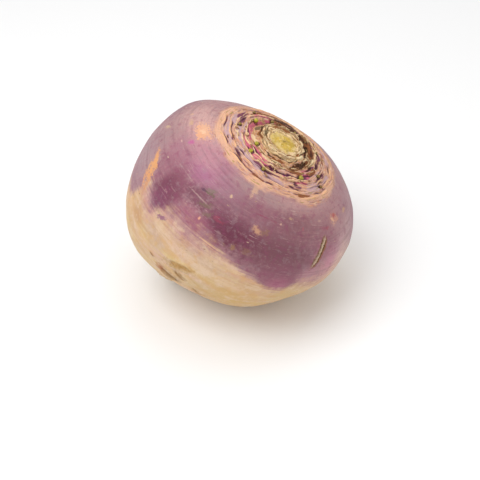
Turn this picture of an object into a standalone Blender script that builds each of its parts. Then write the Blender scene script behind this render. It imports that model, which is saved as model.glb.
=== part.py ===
"""A rutabaga: the swollen root of Brassica napus, its leaves cut off at the crown and its taproot trimmed.

It grew as one piece, so it is one solid. It lies on the small flat spot of its round underside, and its
crown leans towards +X. Units are metres, +Z is up, and the origin is the middle of the flat spot.

The root is shaped in its own frame, whose origin is the root's heart and whose +Z runs out through the
crown. Longitude turns about that axis from the side that ends up lowest, and latitude 90 is the crown.
"""

import math

import bmesh
import bpy
from mathutils import Matrix, Vector

# The smooth body, an ellipsoid that is flatter towards the crown than towards the taproot.
GIRTH_RADIUS = 0.0585
CROWN_RISE = 0.0382
UNDERSIDE_DEPTH = 0.0534

# Growth made it uneven: longitude, latitude and spread in degrees, then how far it swells or sinks.
SWELLINGS = [
    (80, 36, 28, -0.0021),  # the far shoulder is flattened right up to the crown
    (118, 28, 24, -0.0016),
    (141, 20, 11, 0.0010),  # a knuckle on the raised shoulder, and the flat below it
    (155, 10, 11, -0.0008),
    (172, -3, 24, -0.0023),
    (190, -27, 24, 0.0024),  # the raised flank bulges towards the taproot
    (216, -46, 24, 0.0036),
    (205, -38, 11, 0.0010),
    (238, -50, 11, -0.0006),
    (262, -51, 24, -0.0013),
    (313, -27, 11, -0.0007),  # the low flank is drawn in under the girth
    (322, -19, 26, -0.0024),
    (331, -8, 11, 0.0008),
    (339, 2, 11, -0.0010),
    (60, -12, 30, 0.0015),  # the side away from the light grew fuller
    (110, -25, 24, -0.0012),
    (150, -50, 24, -0.0010),
    (0, -80, 24, 0.0030),  # the swelling that the root lies on
]

# The crown, where the leaves grew: a stub of stem in a crevice, with rings of old leaf scars round it.
CROWN_RADIUS = 0.0325
RELIEF_RADIUS = 0.0358
RING_OVALNESS = 0.03
RING_OVAL_PHASE = 0.9
RING_LOPSIDEDNESS = 0.02
STUB_RADIUS = 0.0136
STUB_RISE = 0.0012
STUB_EDGE = 0.0007
PITH_RADIUS = 0.0065
PITH_SINK = 0.0008
CREVICE_RADIUS = 0.0156
CREVICE_HALF_WIDTH = 0.0016
CREVICE_DEPTH = 0.0026
SCAR_RADII = (0.0192, 0.0232, 0.0272, 0.0308)
SCAR_HALF_WIDTH = 0.0010
SCAR_HEIGHT = 0.0009
SCAR_UNEVENNESS = 0.35
SCAR_PHASE_STEP = 1.9

# The taproot, trimmed to a short cone that bends away from the side the root lies on.
TAPROOT_LONGITUDE = 208
TAPROOT_LATITUDE = -70
TAPROOT_CONE_SPREAD = 17
TAPROOT_CONE_LENGTH = 0.0050
TAPROOT_CORE_SPREAD = 9
TAPROOT_CORE_LENGTH = 0.0065
TAPROOT_TRIM = 0.0036

# How it lies: the crown's lean from the vertical, and how much of the underside the flat spot takes off.
LEAN = 28
FLAT_SPOT_DEPTH = 0.0014

# The skin, as a linear red, green, blue and alpha.
SKIN_COLOUR = (0.31, 0.13, 0.18, 1.0)
SKIN_ROUGHNESS = 0.5

# Mesh steps: lengths in metres and angles in degrees.
STEPS_AROUND = 64
CROWN_RING_STEP = 0.0013
FLANK_STEP = 5.0
UNDERSIDE_STEP = 3.2
UNDERSIDE_LATITUDE = -45
MERGE_DISTANCE = 0.00001
CUT_TOLERANCE = 0.0000001
SHARP_ANGLE = 55


def direction(longitude, latitude):
    """Unit vector in the root's own frame, from degrees."""
    lon = math.radians(longitude)
    lat = math.radians(latitude)
    return Vector((math.cos(lat) * math.cos(lon), math.cos(lat) * math.sin(lon), math.sin(lat)))


def bell(distance, spread):
    """1 at distance 0, falling smoothly to nothing a few spreads away."""
    return math.exp(-((distance / spread) ** 2))


def clear_scene():
    """Removes whatever the scene already holds."""
    for obj in list(bpy.data.objects):
        bpy.data.objects.remove(obj)


def outline():
    """Half of the smooth body's outline as (radius, height), from the crown down to the taproot."""
    rings = round(CROWN_RADIUS / CROWN_RING_STEP)
    points = []
    for ring in range(rings + 1):
        radius = CROWN_RADIUS * ring / rings
        points.append((radius, CROWN_RISE * math.sqrt(1 - (radius / GIRTH_RADIUS) ** 2)))
    angle = math.degrees(math.acos(CROWN_RADIUS / GIRTH_RADIUS)) - FLANK_STEP
    while angle > -90 + UNDERSIDE_STEP / 2:
        across = GIRTH_RADIUS * math.cos(math.radians(angle))
        height = CROWN_RISE if angle > 0 else UNDERSIDE_DEPTH
        points.append((across, height * math.sin(math.radians(angle))))
        angle -= FLANK_STEP if angle > UNDERSIDE_LATITUDE else UNDERSIDE_STEP
    points.append((0.0, -UNDERSIDE_DEPTH))
    return points


def turned_body():
    """The smooth body: its outline turned about the root's axis, as one closed mesh."""
    profile = bpy.data.meshes.new("outline")
    points = outline()
    edges = [(i, i + 1) for i in range(len(points) - 1)]
    profile.from_pydata([(radius, 0, height) for radius, height in points], edges, [])
    spun = bpy.data.objects.new("outline", profile)
    bpy.context.scene.collection.objects.link(spun)
    screw = spun.modifiers.new("turn", "SCREW")
    screw.steps = screw.render_steps = STEPS_AROUND
    screw.use_merge_vertices = True
    screw.merge_threshold = MERGE_DISTANCE
    graph = bpy.context.evaluated_depsgraph_get()
    body = bpy.data.meshes.new_from_object(spun.evaluated_get(graph))
    bpy.data.objects.remove(spun)
    bpy.data.meshes.remove(profile)
    return body


def swelling(towards):
    """How far the surface stands out from the smooth body in this direction, apart from the taproot."""
    total = 0.0
    for longitude, latitude, spread, height in SWELLINGS:
        apart = math.degrees(towards.angle(direction(longitude, latitude), 0.0))
        total += height * bell(apart, spread)
    return total


def taproot(towards):
    """How far the taproot stands out in this direction: a broad cone with a slimmer core."""
    apart = math.degrees(towards.angle(direction(TAPROOT_LONGITUDE, TAPROOT_LATITUDE), 0.0))
    cone = TAPROOT_CONE_LENGTH * bell(apart, TAPROOT_CONE_SPREAD)
    return cone + TAPROOT_CORE_LENGTH * bell(apart, TAPROOT_CORE_SPREAD)


def crown_relief(radius, lon):
    """Height of the crown's relief at this distance from the axis and longitude in radians."""
    # The rings are a little oval, and each leaf left its scar a little higher or lower.
    oval = RING_OVALNESS * math.cos(2 * lon - RING_OVAL_PHASE)
    ring = radius * (1 + oval + RING_LOPSIDEDNESS * math.sin(3 * lon))
    height = -CREVICE_DEPTH * bell(ring - CREVICE_RADIUS, CREVICE_HALF_WIDTH)
    height += STUB_RISE * (1 - math.tanh((ring - STUB_RADIUS) / STUB_EDGE)) / 2
    height -= PITH_SINK * bell(ring, PITH_RADIUS)
    for number, scar in enumerate(SCAR_RADII):
        wave = math.cos(lon * (2 + number % 2) + SCAR_PHASE_STEP * number)
        uneven = 1 - SCAR_UNEVENNESS * (1 - wave)
        height += SCAR_HEIGHT * uneven * bell(ring - scar, SCAR_HALF_WIDTH)
    return height


def grow(body):
    """Moves the smooth body's points to the real root's uneven surface."""
    for vertex in body.vertices:
        radius = math.hypot(vertex.co.x, vertex.co.y)
        lon = math.atan2(vertex.co.y, vertex.co.x)
        above = vertex.co.z > 0
        towards = vertex.co.normalized()
        vertex.co += towards * (swelling(towards) + taproot(towards))
        if above and radius < RELIEF_RADIUS:
            vertex.co.z += crown_relief(radius, lon)


def slice_off(bm, point, normal):
    """Cuts away what lies beyond a plane, closes the cut with a flat face and returns that face."""
    everything = bm.verts[:] + bm.edges[:] + bm.faces[:]
    bmesh.ops.bisect_plane(
        bm, geom=everything, dist=CUT_TOLERANCE, plane_co=point, plane_no=normal, clear_outer=True
    )
    rim = [edge for edge in bm.edges if edge.is_boundary]
    return bmesh.ops.contextual_create(bm, geom=rim)["faces"][0]


def trim_taproot(bm):
    """Cuts the taproot straight across, a little short of its tip."""
    along = direction(TAPROOT_LONGITUDE, TAPROOT_LATITUDE)
    tip = max(vertex.co.dot(along) for vertex in bm.verts)
    slice_off(bm, along * (tip - TAPROOT_TRIM), along)


def lay_down(bm):
    """Leans the root over and sets it on its flat spot, whose middle becomes the origin."""
    bm.transform(Matrix.Rotation(math.radians(LEAN), 4, "Y"))
    lowest = min(vertex.co.z for vertex in bm.verts)
    flat = slice_off(bm, Vector((0, 0, lowest + FLAT_SPOT_DEPTH)), Vector((0, 0, -1)))
    bm.transform(Matrix.Translation(-flat.calc_center_median_weighted()))


def skin_material():
    """The dusky purple of the skin above the soil line, which covers most of the root."""
    material = bpy.data.materials.new("rutabaga_skin")
    material.use_nodes = True
    shader = material.node_tree.nodes["Principled BSDF"]
    shader.inputs["Base Color"].default_value = SKIN_COLOUR
    shader.inputs["Roughness"].default_value = SKIN_ROUGHNESS
    shader.inputs["Metallic"].default_value = 0.0
    material.diffuse_color = SKIN_COLOUR
    return material


def make_rutabaga():
    """The whole root, as one closed solid."""
    body = turned_body()
    grow(body)
    bm = bmesh.new()
    bm.from_mesh(body)
    bmesh.ops.remove_doubles(bm, verts=bm.verts, dist=MERGE_DISTANCE)
    trim_taproot(bm)
    lay_down(bm)
    bmesh.ops.recalc_face_normals(bm, faces=bm.faces)
    bm.to_mesh(body)
    bm.free()
    body.name = "rutabaga"
    body.shade_smooth()
    body.set_sharp_from_angle(angle=math.radians(SHARP_ANGLE))
    body.materials.append(skin_material())
    return bpy.data.objects.new("rutabaga", body)


clear_scene()
collection = bpy.data.collections.new("Rutabaga")
bpy.context.scene.collection.children.link(collection)
collection.objects.link(make_rutabaga())
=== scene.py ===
"""A rutabaga on its flat spot: purple above the old soil line, cream below it, with a ringed crown."""

import math

import bmesh
import bpy
import numpy as np
from mathutils import Matrix, Vector, noise
from mathutils.bvhtree import BVHTree


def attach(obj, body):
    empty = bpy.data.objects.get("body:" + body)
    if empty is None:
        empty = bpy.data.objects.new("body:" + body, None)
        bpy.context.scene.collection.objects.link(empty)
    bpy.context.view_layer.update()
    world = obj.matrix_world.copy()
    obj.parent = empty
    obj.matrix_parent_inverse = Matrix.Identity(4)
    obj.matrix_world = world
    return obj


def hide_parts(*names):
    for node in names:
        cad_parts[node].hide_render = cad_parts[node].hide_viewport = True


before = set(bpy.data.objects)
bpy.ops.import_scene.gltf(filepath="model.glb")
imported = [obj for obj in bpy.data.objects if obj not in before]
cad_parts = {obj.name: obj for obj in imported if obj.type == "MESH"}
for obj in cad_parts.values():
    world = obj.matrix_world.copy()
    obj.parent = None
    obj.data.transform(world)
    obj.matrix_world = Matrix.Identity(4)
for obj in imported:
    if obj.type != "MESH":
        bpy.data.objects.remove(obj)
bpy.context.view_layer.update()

# --------------------------------------------------------------------------
# The studio. A plain pale table in a bright room, with one broad lamp up on the left and weaker ones on the
# right and behind. The camera looks down at the flank, so that the crown shows foreshortened on the right.
# --------------------------------------------------------------------------
AIM = Vector((-0.0014, -0.0001, 0.0253))
LENS = 85
CAMERA_DISTANCE = 0.591
CAMERA_AZIMUTH = 3.5
CAMERA_ELEVATION = 40
NEAREST_SEEN = 0.01


def link(obj):
    """Puts an object in the scene and gives it back."""
    bpy.context.scene.collection.objects.link(obj)
    return obj


def look_from(seer, distance, azimuth, elevation):
    """Stands a camera or a lamp off at this distance and these angles in degrees, facing the root."""
    turn, rise = math.radians(azimuth), math.radians(elevation)
    away = Vector((math.sin(turn) * math.cos(rise), -math.cos(turn) * math.cos(rise), math.sin(rise)))
    seer.location = AIM + distance * away
    seer.rotation_euler = (AIM - seer.location).to_track_quat("-Z", "Y").to_euler()


camera = link(bpy.data.objects.new("camera", bpy.data.cameras.new("camera")))
camera.data.lens = LENS
camera.data.clip_start = NEAREST_SEEN
look_from(camera, CAMERA_DISTANCE, CAMERA_AZIMUTH, CAMERA_ELEVATION)
bpy.context.scene.camera = camera
bpy.context.scene.view_settings.view_transform = "Standard"

LAMPS = [  # name, azimuth, elevation, width, power in watts
    ("key", -48, 58, 0.55, 3.6),
    ("fill", 55, 30, 0.70, 0.75),
    ("top", 160, 72, 0.60, 1.35),
]
LAMP_DISTANCE = 0.80
for name, azimuth, elevation, width, power in LAMPS:
    lamp = link(bpy.data.objects.new(name, bpy.data.lights.new(name, "AREA")))
    lamp.data.size = width
    lamp.data.energy = power
    look_from(lamp, LAMP_DISTANCE, azimuth, elevation)

ROOM_LIGHT = (1.0, 1.0, 1.0, 1.0)
ROOM_STRENGTH = 0.63
world = bpy.data.worlds.new("room")
world.use_nodes = True
background = world.node_tree.nodes["Background"]
background.inputs["Color"].default_value = ROOM_LIGHT
background.inputs["Strength"].default_value = ROOM_STRENGTH
bpy.context.scene.world = world

TABLE_HALF = 3.0
TABLE_COLOUR = (0.90, 0.90, 0.90, 1.0)
TABLE_ROUGHNESS = 0.7
table_mesh = bpy.data.meshes.new("table")
table_corners = [(-TABLE_HALF, -TABLE_HALF, 0), (TABLE_HALF, -TABLE_HALF, 0)]
table_corners += [(TABLE_HALF, TABLE_HALF, 0), (-TABLE_HALF, TABLE_HALF, 0)]
table_mesh.from_pydata(table_corners, [], [(0, 1, 2, 3)])
table_paint = bpy.data.materials.new("pale table")
table_paint.use_nodes = True
shader = table_paint.node_tree.nodes["Principled BSDF"]
shader.inputs["Base Color"].default_value = TABLE_COLOUR
shader.inputs["Roughness"].default_value = TABLE_ROUGHNESS
table_mesh.materials.append(table_paint)
table = link(bpy.data.objects.new("table", table_mesh))

# --------------------------------------------------------------------------
# The root's body. It is one swollen taproot. Its smooth form is read off the solid, from the heart outwards,
# on rings round the axis that runs from the taproot to the crown; the growth marks are raised on it below.
# --------------------------------------------------------------------------
HEART = Vector((0.001755, -0.000526, 0.054706))
LEAN = math.radians(28)
GIRTH_RADIUS = 0.0585
CROWN_RISE = 0.0382
COLUMNS = 320
CROWN_RADIUS = 0.0345
CROWN_STEP = 0.00025
FLANK_STEP = 0.0012
CROWN_SMOOTHING = 0.0008
FLANK_SMOOTHING = 0.0021
BLEND_ZONE = (CROWN_RADIUS - 0.002, CROWN_RADIUS + 0.006)
MERGE_DISTANCE = 0.000001
MM = 0.001

lean = Matrix.Rotation(LEAN, 3, "Y")


def heading(longitude, latitude):
    """Unit vector in the root's own frame, from degrees; latitude 90 is the crown."""
    lon = math.radians(longitude)
    lat = math.radians(latitude)
    return Vector((math.cos(lat) * math.cos(lon), math.cos(lat) * math.sin(lon), math.sin(lat)))


solid = bmesh.new()
solid.from_mesh(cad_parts["rutabaga"].data)
bmesh.ops.remove_doubles(solid, verts=solid.verts, dist=MERGE_DISTANCE)
solid_surface = BVHTree.FromBMesh(solid)


def reach(direction):
    """How far the solid's surface lies from the heart, in a direction of the root's own frame."""
    return solid_surface.ray_cast(HEART, lean @ direction)[3]


crown_radii = np.arange(0.0, CROWN_RADIUS, CROWN_STEP)
crown_angles = np.arctan2(crown_radii, CROWN_RISE * np.sqrt(1 - (crown_radii / GIRTH_RADIUS) ** 2))
flank_rings = round((math.pi - crown_angles[-1]) * GIRTH_RADIUS / FLANK_STEP)
flank_angles = np.linspace(crown_angles[-1], math.pi, flank_rings + 1)[1:]
polar = np.concatenate((crown_angles, flank_angles))
longitudes = np.arange(COLUMNS) * 2 * math.pi / COLUMNS
level = np.sin(polar)[:, None]
upright = np.cos(polar)[:, None] * np.ones(COLUMNS)
headings = np.stack((level * np.cos(longitudes), level * np.sin(longitudes), upright), axis=2)
depths = np.array([[reach(Vector(each)) for each in ring] for ring in headings.tolist()])

# The solid's facets are smoothed away, round each ring and then from ring to ring.
mean_depth = depths.mean(axis=1)
ring_steps = np.hypot(np.diff(mean_depth * np.sin(polar)), np.diff(mean_depth * np.cos(polar)))
ring_places = np.concatenate(([0.0], np.cumsum(ring_steps)))
blur = np.interp(ring_places, BLEND_ZONE, (CROWN_SMOOTHING, FLANK_SMOOTHING))
ring_radii = np.maximum(mean_depth * np.sin(polar), blur)
waves = np.arange(COLUMNS // 2 + 1)
spectrum = np.fft.rfft(depths, axis=1) * np.exp(-0.5 * (waves * (blur / ring_radii)[:, None]) ** 2)
depths = np.fft.irfft(spectrum, n=COLUMNS, axis=1)
weights = np.exp(-0.5 * ((ring_places[:, None] - ring_places[None, :]) / blur[:, None]) ** 2)
depths = weights @ depths / weights.sum(axis=1, keepdims=True)
grid = headings * depths[:, :, None]

body = bmesh.new()
top = body.verts.new(grid[0].mean(axis=0))
rings = [[body.verts.new(place) for place in ring] for ring in grid[1:-1].tolist()]
tip = body.verts.new(grid[-1].mean(axis=0))
for column in range(COLUMNS):
    beside = (column + 1) % COLUMNS
    body.faces.new((top, rings[0][column], rings[0][beside]))
    for upper, lower in zip(rings, rings[1:]):
        body.faces.new((upper[column], lower[column], lower[beside], upper[beside]))
    body.faces.new((rings[-1][column], tip, rings[-1][beside]))

# --------------------------------------------------------------------------
# Scars on the flanks. A split that healed over with pale cork, and the creases where side roots grew out
# in two opposite rows. The mesh is finer round them, so that they are cut into the root itself.
# --------------------------------------------------------------------------
FLANK_SCARS = [  # name, start and end as longitude and latitude, half width and bend in mm
    ("split", (315.4, 26), (305, 9.3), 1.8, -0.1),
    ("hollow", (235.5, -30.8), (247.5, -32.8), 3.2, 0.6),
    ("wrinkle", (237.5, -20.8), (251.5, -15), 2.2, -0.8),
    ("crease", (244, -23.2), (251.5, -27), 1, 0.6),
    ("wrinkle", (243.5, -17.5), (245.5, -24), 0.9, 0.3),
    ("crease", (227.2, -25.2), (229.8, -26.6), 0.7, 0),
    ("crease", (257, -30), (266, -37), 1.3, 0.6),
    ("crease", (222, -45), (238, -49), 1, -0.8),
    ("hollow", (52, -22), (66, -25), 1.4, -0.9),
    ("crease", (44, -30), (58, -33.5), 0.9, 0.8),
    ("crease", (60, -36), (71, -34), 0.8, 0.6),
    ("crease", (40, -44), (60, -48), 1, -0.9),
    ("crease", (66, -8), (73, -13), 0.7, 0.4),
    ("split", (118, 14), (124, 2), 0.55, -0.6),
]
SCAR_DEPTHS = {"hollow": 0.85, "crease": 0.6, "wrinkle": 0.16}  # in half widths
SCAR_FLOOR_DARKENING = {"hollow": 0.95, "crease": 0.7, "wrinkle": 0.12}
SCAR_TAPER = 0.22
SCAR_LIP = (1.15, 0.4, 0.25)  # how far out, how wide and how high a lip is, in half widths
SPLIT_TRENCH = (0.68, 0.26, 0.8)  # how far out, how wide and how deep
SPLIT_CORK = (0.36, 0.15)  # how wide and how high
SPLIT_SWELL = 1.2
SPLIT_TORN = [(0.35, 1.1, 61), (0.2, 0.5, 3)]  # height, pitch and offset of the noise that tears it
LIP_CORK = 1.2
SCAR_FLOOR = 0.75
SCAR_POINT = 0.6
LEAST_WIDTH = 0.05
DENTS = [  # longitude, latitude, then half width and depth in mm
    (227, -61, 10.5, 3.5), (60, -40, 9, 1), (120, -30, 12, 0.8), (330, -24, 10, 0.5),
]
SCAR_REACH = 2.6
SCAR_MARGIN = 1.5
SCAR_CUTS = 3
SCAR_BACK = 4.0
FAR_AWAY = 99.0


def surface_point(longitude, latitude):
    """The point of the smooth body that lies in this direction, in mm."""
    direction = heading(longitude, latitude)
    return np.array(direction * reach(direction) / MM)


def along_scar(places, start, end, half_width, bend):
    """Where places lie against a scar: 0 to 1 along it, half widths across it, and its length in mm."""
    first = surface_point(*start)
    span = surface_point(*end) - first
    length = np.linalg.norm(span)
    outward = first / np.linalg.norm(first)
    side = np.cross(span, outward)
    side /= np.linalg.norm(side)
    offset = places - first
    along = offset @ span / length**2
    bow = bend * 4 * along * (1 - along)
    near_side = np.abs(offset @ outward) < 0.3 * length + SCAR_BACK
    across = np.where(near_side, (offset @ side - bow) / half_width, FAR_AWAY)
    return along, across, length


middles = np.array([face.calc_center_median() for face in body.faces]) / MM
close = np.zeros(len(middles), bool)
for name, start, end, half_width, bend in FLANK_SCARS:
    along, across, length = along_scar(middles, start, end, half_width, bend)
    margin = SCAR_MARGIN / length
    close |= (along > -margin) & (along < 1 + margin) & (np.abs(across) < SCAR_REACH)
body.faces.ensure_lookup_table()
near_scars = [body.faces[index] for index in np.nonzero(close)[0]]
cut_edges = list({edge for face in near_scars for edge in face.edges})
bmesh.ops.subdivide_edges(body, edges=cut_edges, cuts=SCAR_CUTS, use_grid_fill=True)
bmesh.ops.triangulate(body, faces=[face for face in body.faces if len(face.verts) > 4])
skin_mesh = bpy.data.meshes.new("skin")
body.to_mesh(skin_mesh)
body.free()

places = np.empty(len(skin_mesh.vertices) * 3)
skin_mesh.vertices.foreach_get("co", places)
places = places.reshape(-1, 3) / MM
lon = np.arctan2(places[:, 1], places[:, 0])
radius = np.hypot(places[:, 0], places[:, 1])
latitude = np.degrees(np.arctan2(places[:, 2], radius))
down = np.interp(np.arctan2(radius, places[:, 2]), polar, ring_places / MM)
round_ring = np.stack((np.cos(lon), np.sin(lon)), axis=1)


def smooth_noise(cells):
    """Smooth noise, mostly from -1 to 1, at points given in its own cells."""
    return np.array([noise.noise(cell) for cell in cells.tolist()])


def layered_noise(layers):
    """Smooth noise on the body, in layers with a height, a pitch in mm and an offset."""
    return sum(height * smooth_noise(places / pitch + offset) for height, pitch, offset in layers)


def ring_noise(around, outwards, offset):
    """Noise in rings round the axis: cells for each radian round it and each mm away from the crown."""
    return smooth_noise(np.column_stack((round_ring * around + offset, down * outwards)))


def bump(distance, half_width):
    """1 at distance 0, falling to nothing about two half widths away."""
    return np.exp(-((distance / half_width) ** 2))


def fade(value, low, high):
    """0 at low, 1 at high and smooth between them, whichever is the greater."""
    share = np.clip((value - low) / (high - low), 0, 1)
    return share * share * (3 - 2 * share)


def tapered(along, taper):
    """1 from 0 to 1 along a line, fading out over this share of it at both ends."""
    return fade(along, -0.02, taper) * fade(along, 1.02, 1 - taper)


def ridge(across, place, half_width):
    """1 on two lines, this far out on either side of a middle line, and 0 away from them."""
    return bump(np.abs(across) - place, half_width)


relief = np.zeros(len(places))
cork = np.zeros(len(places))
# How much darker each scar's floor and the split's trench are made, growing with the scar's depth.
floor_darkening = np.zeros(len(places))
for name, start, end, half_width, bend in FLANK_SCARS:
    along, across, length = along_scar(places, start, end, half_width, bend)
    ends = tapered(along, SCAR_TAPER)
    width = np.maximum(ends, LEAST_WIDTH) ** SCAR_POINT
    lips = SCAR_LIP[2] * ridge(across, SCAR_LIP[0] * width, SCAR_LIP[1]) * ends
    if name == "split":
        across = across + layered_noise(SPLIT_TORN) * fade(np.abs(across), 3, 1)
        core = bump(across, SPLIT_CORK[0] * width) * ends
        trench = ridge(across, SPLIT_TRENCH[0] * width, SPLIT_TRENCH[1]) * ends
        relief += half_width * (SPLIT_SWELL * lips - SPLIT_TRENCH[2] * trench + SPLIT_CORK[1] * core)
        cork = np.maximum(cork, core)
        floor_darkening = np.maximum(floor_darkening, trench)
    else:
        floor = bump(across, SCAR_FLOOR * width) * ends
        relief += half_width * (lips - SCAR_DEPTHS[name] * floor)
        cork = np.maximum(cork, LIP_CORK * lips)
        floor_darkening = np.maximum(floor_darkening, SCAR_FLOOR_DARKENING[name] * floor)
for longitude, height, half_width, depth in DENTS:
    from_dent = np.linalg.norm(places - surface_point(longitude, height), axis=1)
    relief -= depth * bump(from_dent, half_width)

# --------------------------------------------------------------------------
# The crown. Each leaf that died left a thin crescent, a golden angle on from the one before and a little
# further in, with a corky outer lip, a thin-skinned face and a groove at its inner edge. The lips are pale
# cork painted paler as a painted highlight, and the grooves are painted dark as painted shade. In the middle
# the stub of the stem stands in a crevice, ringed round its pith.
# --------------------------------------------------------------------------
GOLDEN_ANGLE = 137.5
GOLDEN_SHARE = 0.618
FIRST_SCAR = 200
SCAR_COUNT = 42
OUTERMOST_SCAR = 33.0
SCAR_SPACING = 0.42
SCAR_SPAN = 36
SCAR_BREADTH = 2.4
SCAR_BOW = 1.5
SCAR_ENDS = 0.72
RING_SWAY = 0.8
RING_FRAY = 0.3
LIP_INSET = 0.2
LEAST_AXIL = 0.35
LIP_HEIGHT = 0.42
LIP_HALF_WIDTH = 0.32
AXIL_DEPTH = 0.9
AXIL_HALF_WIDTH = 0.36
WORN_SIDE = 195
WORN_SHARE = 0.88
WORN_REACH = (31, 24)
WORN_SHIFT = 5
CROWN_EDGE = (34.6, 32.4)
CROWN_PATCHES = {  # by tone: longitude, radius, half length round the ring and half breadth in mm
    "peach": [
        (192, 31.6, 14, 1.5), (168, 31.6, 14, 1.5), (212, 31.6, 9, 1.6), (256, 32.8, 7, 1.3),
        (292, 32.6, 7, 1.3), (334, 31.8, 9, 1.6),
    ],
    "lilac": [
        (199, 28.6, 5, 0.8), (182, 28.6, 9, 0.9), (165, 25.8, 6, 1.3), (196, 22.8, 8, 1.2),
        (226, 25.7, 6.5, 1.7), (243, 26, 6, 1.6), (264, 27, 6, 1.1), (316, 26.8, 5.5, 2.2),
        (178, 20.4, 5, 0.8), (334, 22.3, 3, 0.7), (343, 27, 4, 0.9), (20, 27.2, 6, 1.1), (52, 26.2, 6, 1.2),
        (98, 25.4, 6, 1.4),
    ],
    "rose": [
        (183, 17.4, 7, 1.9), (152, 16.6, 7.5, 1.4), (210, 21.4, 7, 1), (234, 18.9, 6, 0.7), (240, 22, 8, 1),
        (270, 22.9, 6, 0.8), (284, 22, 6, 1), (311, 20.9, 4, 1), (276, 22, 5, 0.6), (322, 17.5, 4, 1.2),
        (300, 24.2, 4, 0.6), (118, 21.5, 6, 1.2), (110, 17.6, 4, 0.9), (15, 23.5, 4, 0.8),
    ],
    "wine": [
        (265, 21.7, 4.5, 0.8), (287, 21.5, 4.5, 1), (256, 24.7, 3.6, 0.7), (152, 24.6, 5, 1.6),
        (164, 22.4, 3, 0.7), (201, 27.3, 1.7, 0.7), (218, 27.8, 2.4, 0.5), (294, 26.8, 2.3, 0.8),
        (302, 21.4, 4, 0.8), (262, 24.6, 5, 0.6), (243, 24.5, 4, 0.5), (330, 24.8, 3, 0.6),
        (344, 25, 3, 0.5), (335, 18.6, 3, 1.2), (8, 21, 4, 0.8), (70, 24.5, 4.5, 0.6), (130, 27.5, 4, 0.7),
    ],
    "dry": [
        (292, 18.3, 2.6, 1.5), (153, 18.7, 3, 0.9), (200, 25.9, 2, 0.5), (300, 30.2, 4, 0.8),
        (30, 17.6, 7.5, 1.9), (58, 18.6, 7.5, 2), (88, 19.4, 8, 1.8), (4, 16.6, 4.5, 1.3),
        (120, 14.8, 4.5, 0.9), (180, 12.6, 4.5, 0.9), (75, 10.6, 8, 1.2), (98, 12.6, 7, 1.3),
        (122, 9.6, 4, 0.9), (335, 9.8, 4, 1), (328, 19.8, 5, 1), (300, 18.8, 4.5, 1.2), (354, 15.6, 6, 1.7),
        (10, 16.4, 6, 1.3), (262, 14.9, 4, 0.6), (300, 15.8, 4, 0.8), (226, 29.6, 3, 0.4),
        (252, 30.4, 4, 0.4), (196, 11.4, 4, 0.7), (60, 10.6, 5, 0.8), (285, 10.3, 3.5, 0.5),
        (40, 30.5, 6, 0.9), (80, 29.4, 6, 0.8), (72, 23.6, 10, 1.3), (104, 24.4, 9, 1.3),
        (42, 22.4, 8, 1.1), (124, 22.6, 6, 1), (12, 23.6, 5, 0.6),
    ],
    # Nearly black patches in and round the crevice: dark bark, deepened with painted shade.
    "bark_and_crevice_shade": [
        (356, 12.4, 5, 1.1), (16, 13.2, 7, 1.2), (52, 15.6, 9, 1.6), (88, 15.8, 9, 1.8), (64, 18.4, 9, 1.5),
        (330, 17.6, 4, 0.8), (112, 15.6, 5, 0.9), (316, 14.6, 4, 0.5), (244, 14.4, 4, 0.35),
        (262, 16.4, 4, 0.4), (290, 16.6, 3, 0.5), (160, 12.6, 4, 0.5), (90, 21.6, 9, 0.8), (54, 21, 7, 0.7),
        (84, 26.4, 6, 0.5),
    ],
    "pale": [
        (350, 17.6, 3, 0.9), (303, 8.4, 2.6, 0.8), (326, 12.4, 4.5, 1.1), (30, 12.6, 5, 0.7),
        (208, 15.4, 4.5, 0.8), (250, 18, 6, 1), (272, 17.6, 3, 0.8), (193, 24, 3.5, 0.35),
        (196, 15.8, 3, 0.9),
    ],
    "mould": [
        (174, 10, 2.6, 1), (164, 13.8, 2.6, 0.8), (252, 11.6, 1.2, 0.5), (337, 13.8, 2, 0.4),
        (146, 11.4, 1.8, 0.6), (70, 12.5, 3, 0.5),
    ],
    "straw": [
        (236, 3.4, 4.5, 2.8), (205, 5.2, 3, 1.6), (290, 4.6, 3, 1.6), (80, 3, 2.4, 1.2),
    ],
}
CORK_RIMS = [  # longitude and radius in mm where it starts and where it ends, and height in mm
    (146, 19, 200, 19.9, 0.5), (188, 20.1, 270, 20.7, 0.6), (184, 21.2, 240, 24.1, 0.6),
    (230, 23.9, 304, 23.7, 0.7), (258, 21.9, 318, 22.7, 0.5), (203, 27, 248, 27.7, 0.4),
    (248, 28.2, 302, 29.3, 0.4), (214, 31, 270, 31.5, 0.35), (284, 31.3, 336, 30.8, 0.35),
    (158, 30.4, 210, 31.2, 0.35), (298, 26, 346, 25.1, 0.5), (322, 28.3, 372, 29, 0.4),
    (154, 24, 190, 24.9, 0.5), (152, 27.1, 204, 27.6, 0.4), (222, 16.6, 264, 17, 0.5),
    (4, 21.6, 80, 22.6, 0.7), (50, 25.4, 130, 24.7, 0.5), (96, 21.4, 152, 21.9, 0.5),
    (14, 27.6, 72, 28.4, 0.4), (88, 29.4, 150, 29.2, 0.4), (334, 15.4, 386, 16.2, 0.5),
    (350, 18.2, 394, 18.8, 0.4),
]
RIM_HALF_WIDTH = 0.38
RIM_TAPER = 0.14
RIM_GROOVE = (0.95, 0.42, 1.3)  # how far inside the rim, how wide, and how deep against the rim's height
STUB_EDGE = 12.9
STUB_REACH = 15
STUB_SHIFT = (-0.4, -2.2)
PITH_EDGE = 7.3
ROTTED_SIDE = 8
STUB_LOSS = 2.2
STUB_LIPS = [(8.3, 0.4), (9.9, 0.35), (11.6, 0.5)]  # radius and height in mm
STUB_LIP_SHAPE = (0.55, 0.75, 0.28)  # its half width, and how far outside it its groove is and how wide
STUB_EDGE_SHAPE = (0.34, 0.7)  # half width and depth
PITH_EDGE_SHAPE = (0.22, 0.35)
STUB_ROUGH = [(0.5, 2.6, 31)]
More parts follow.
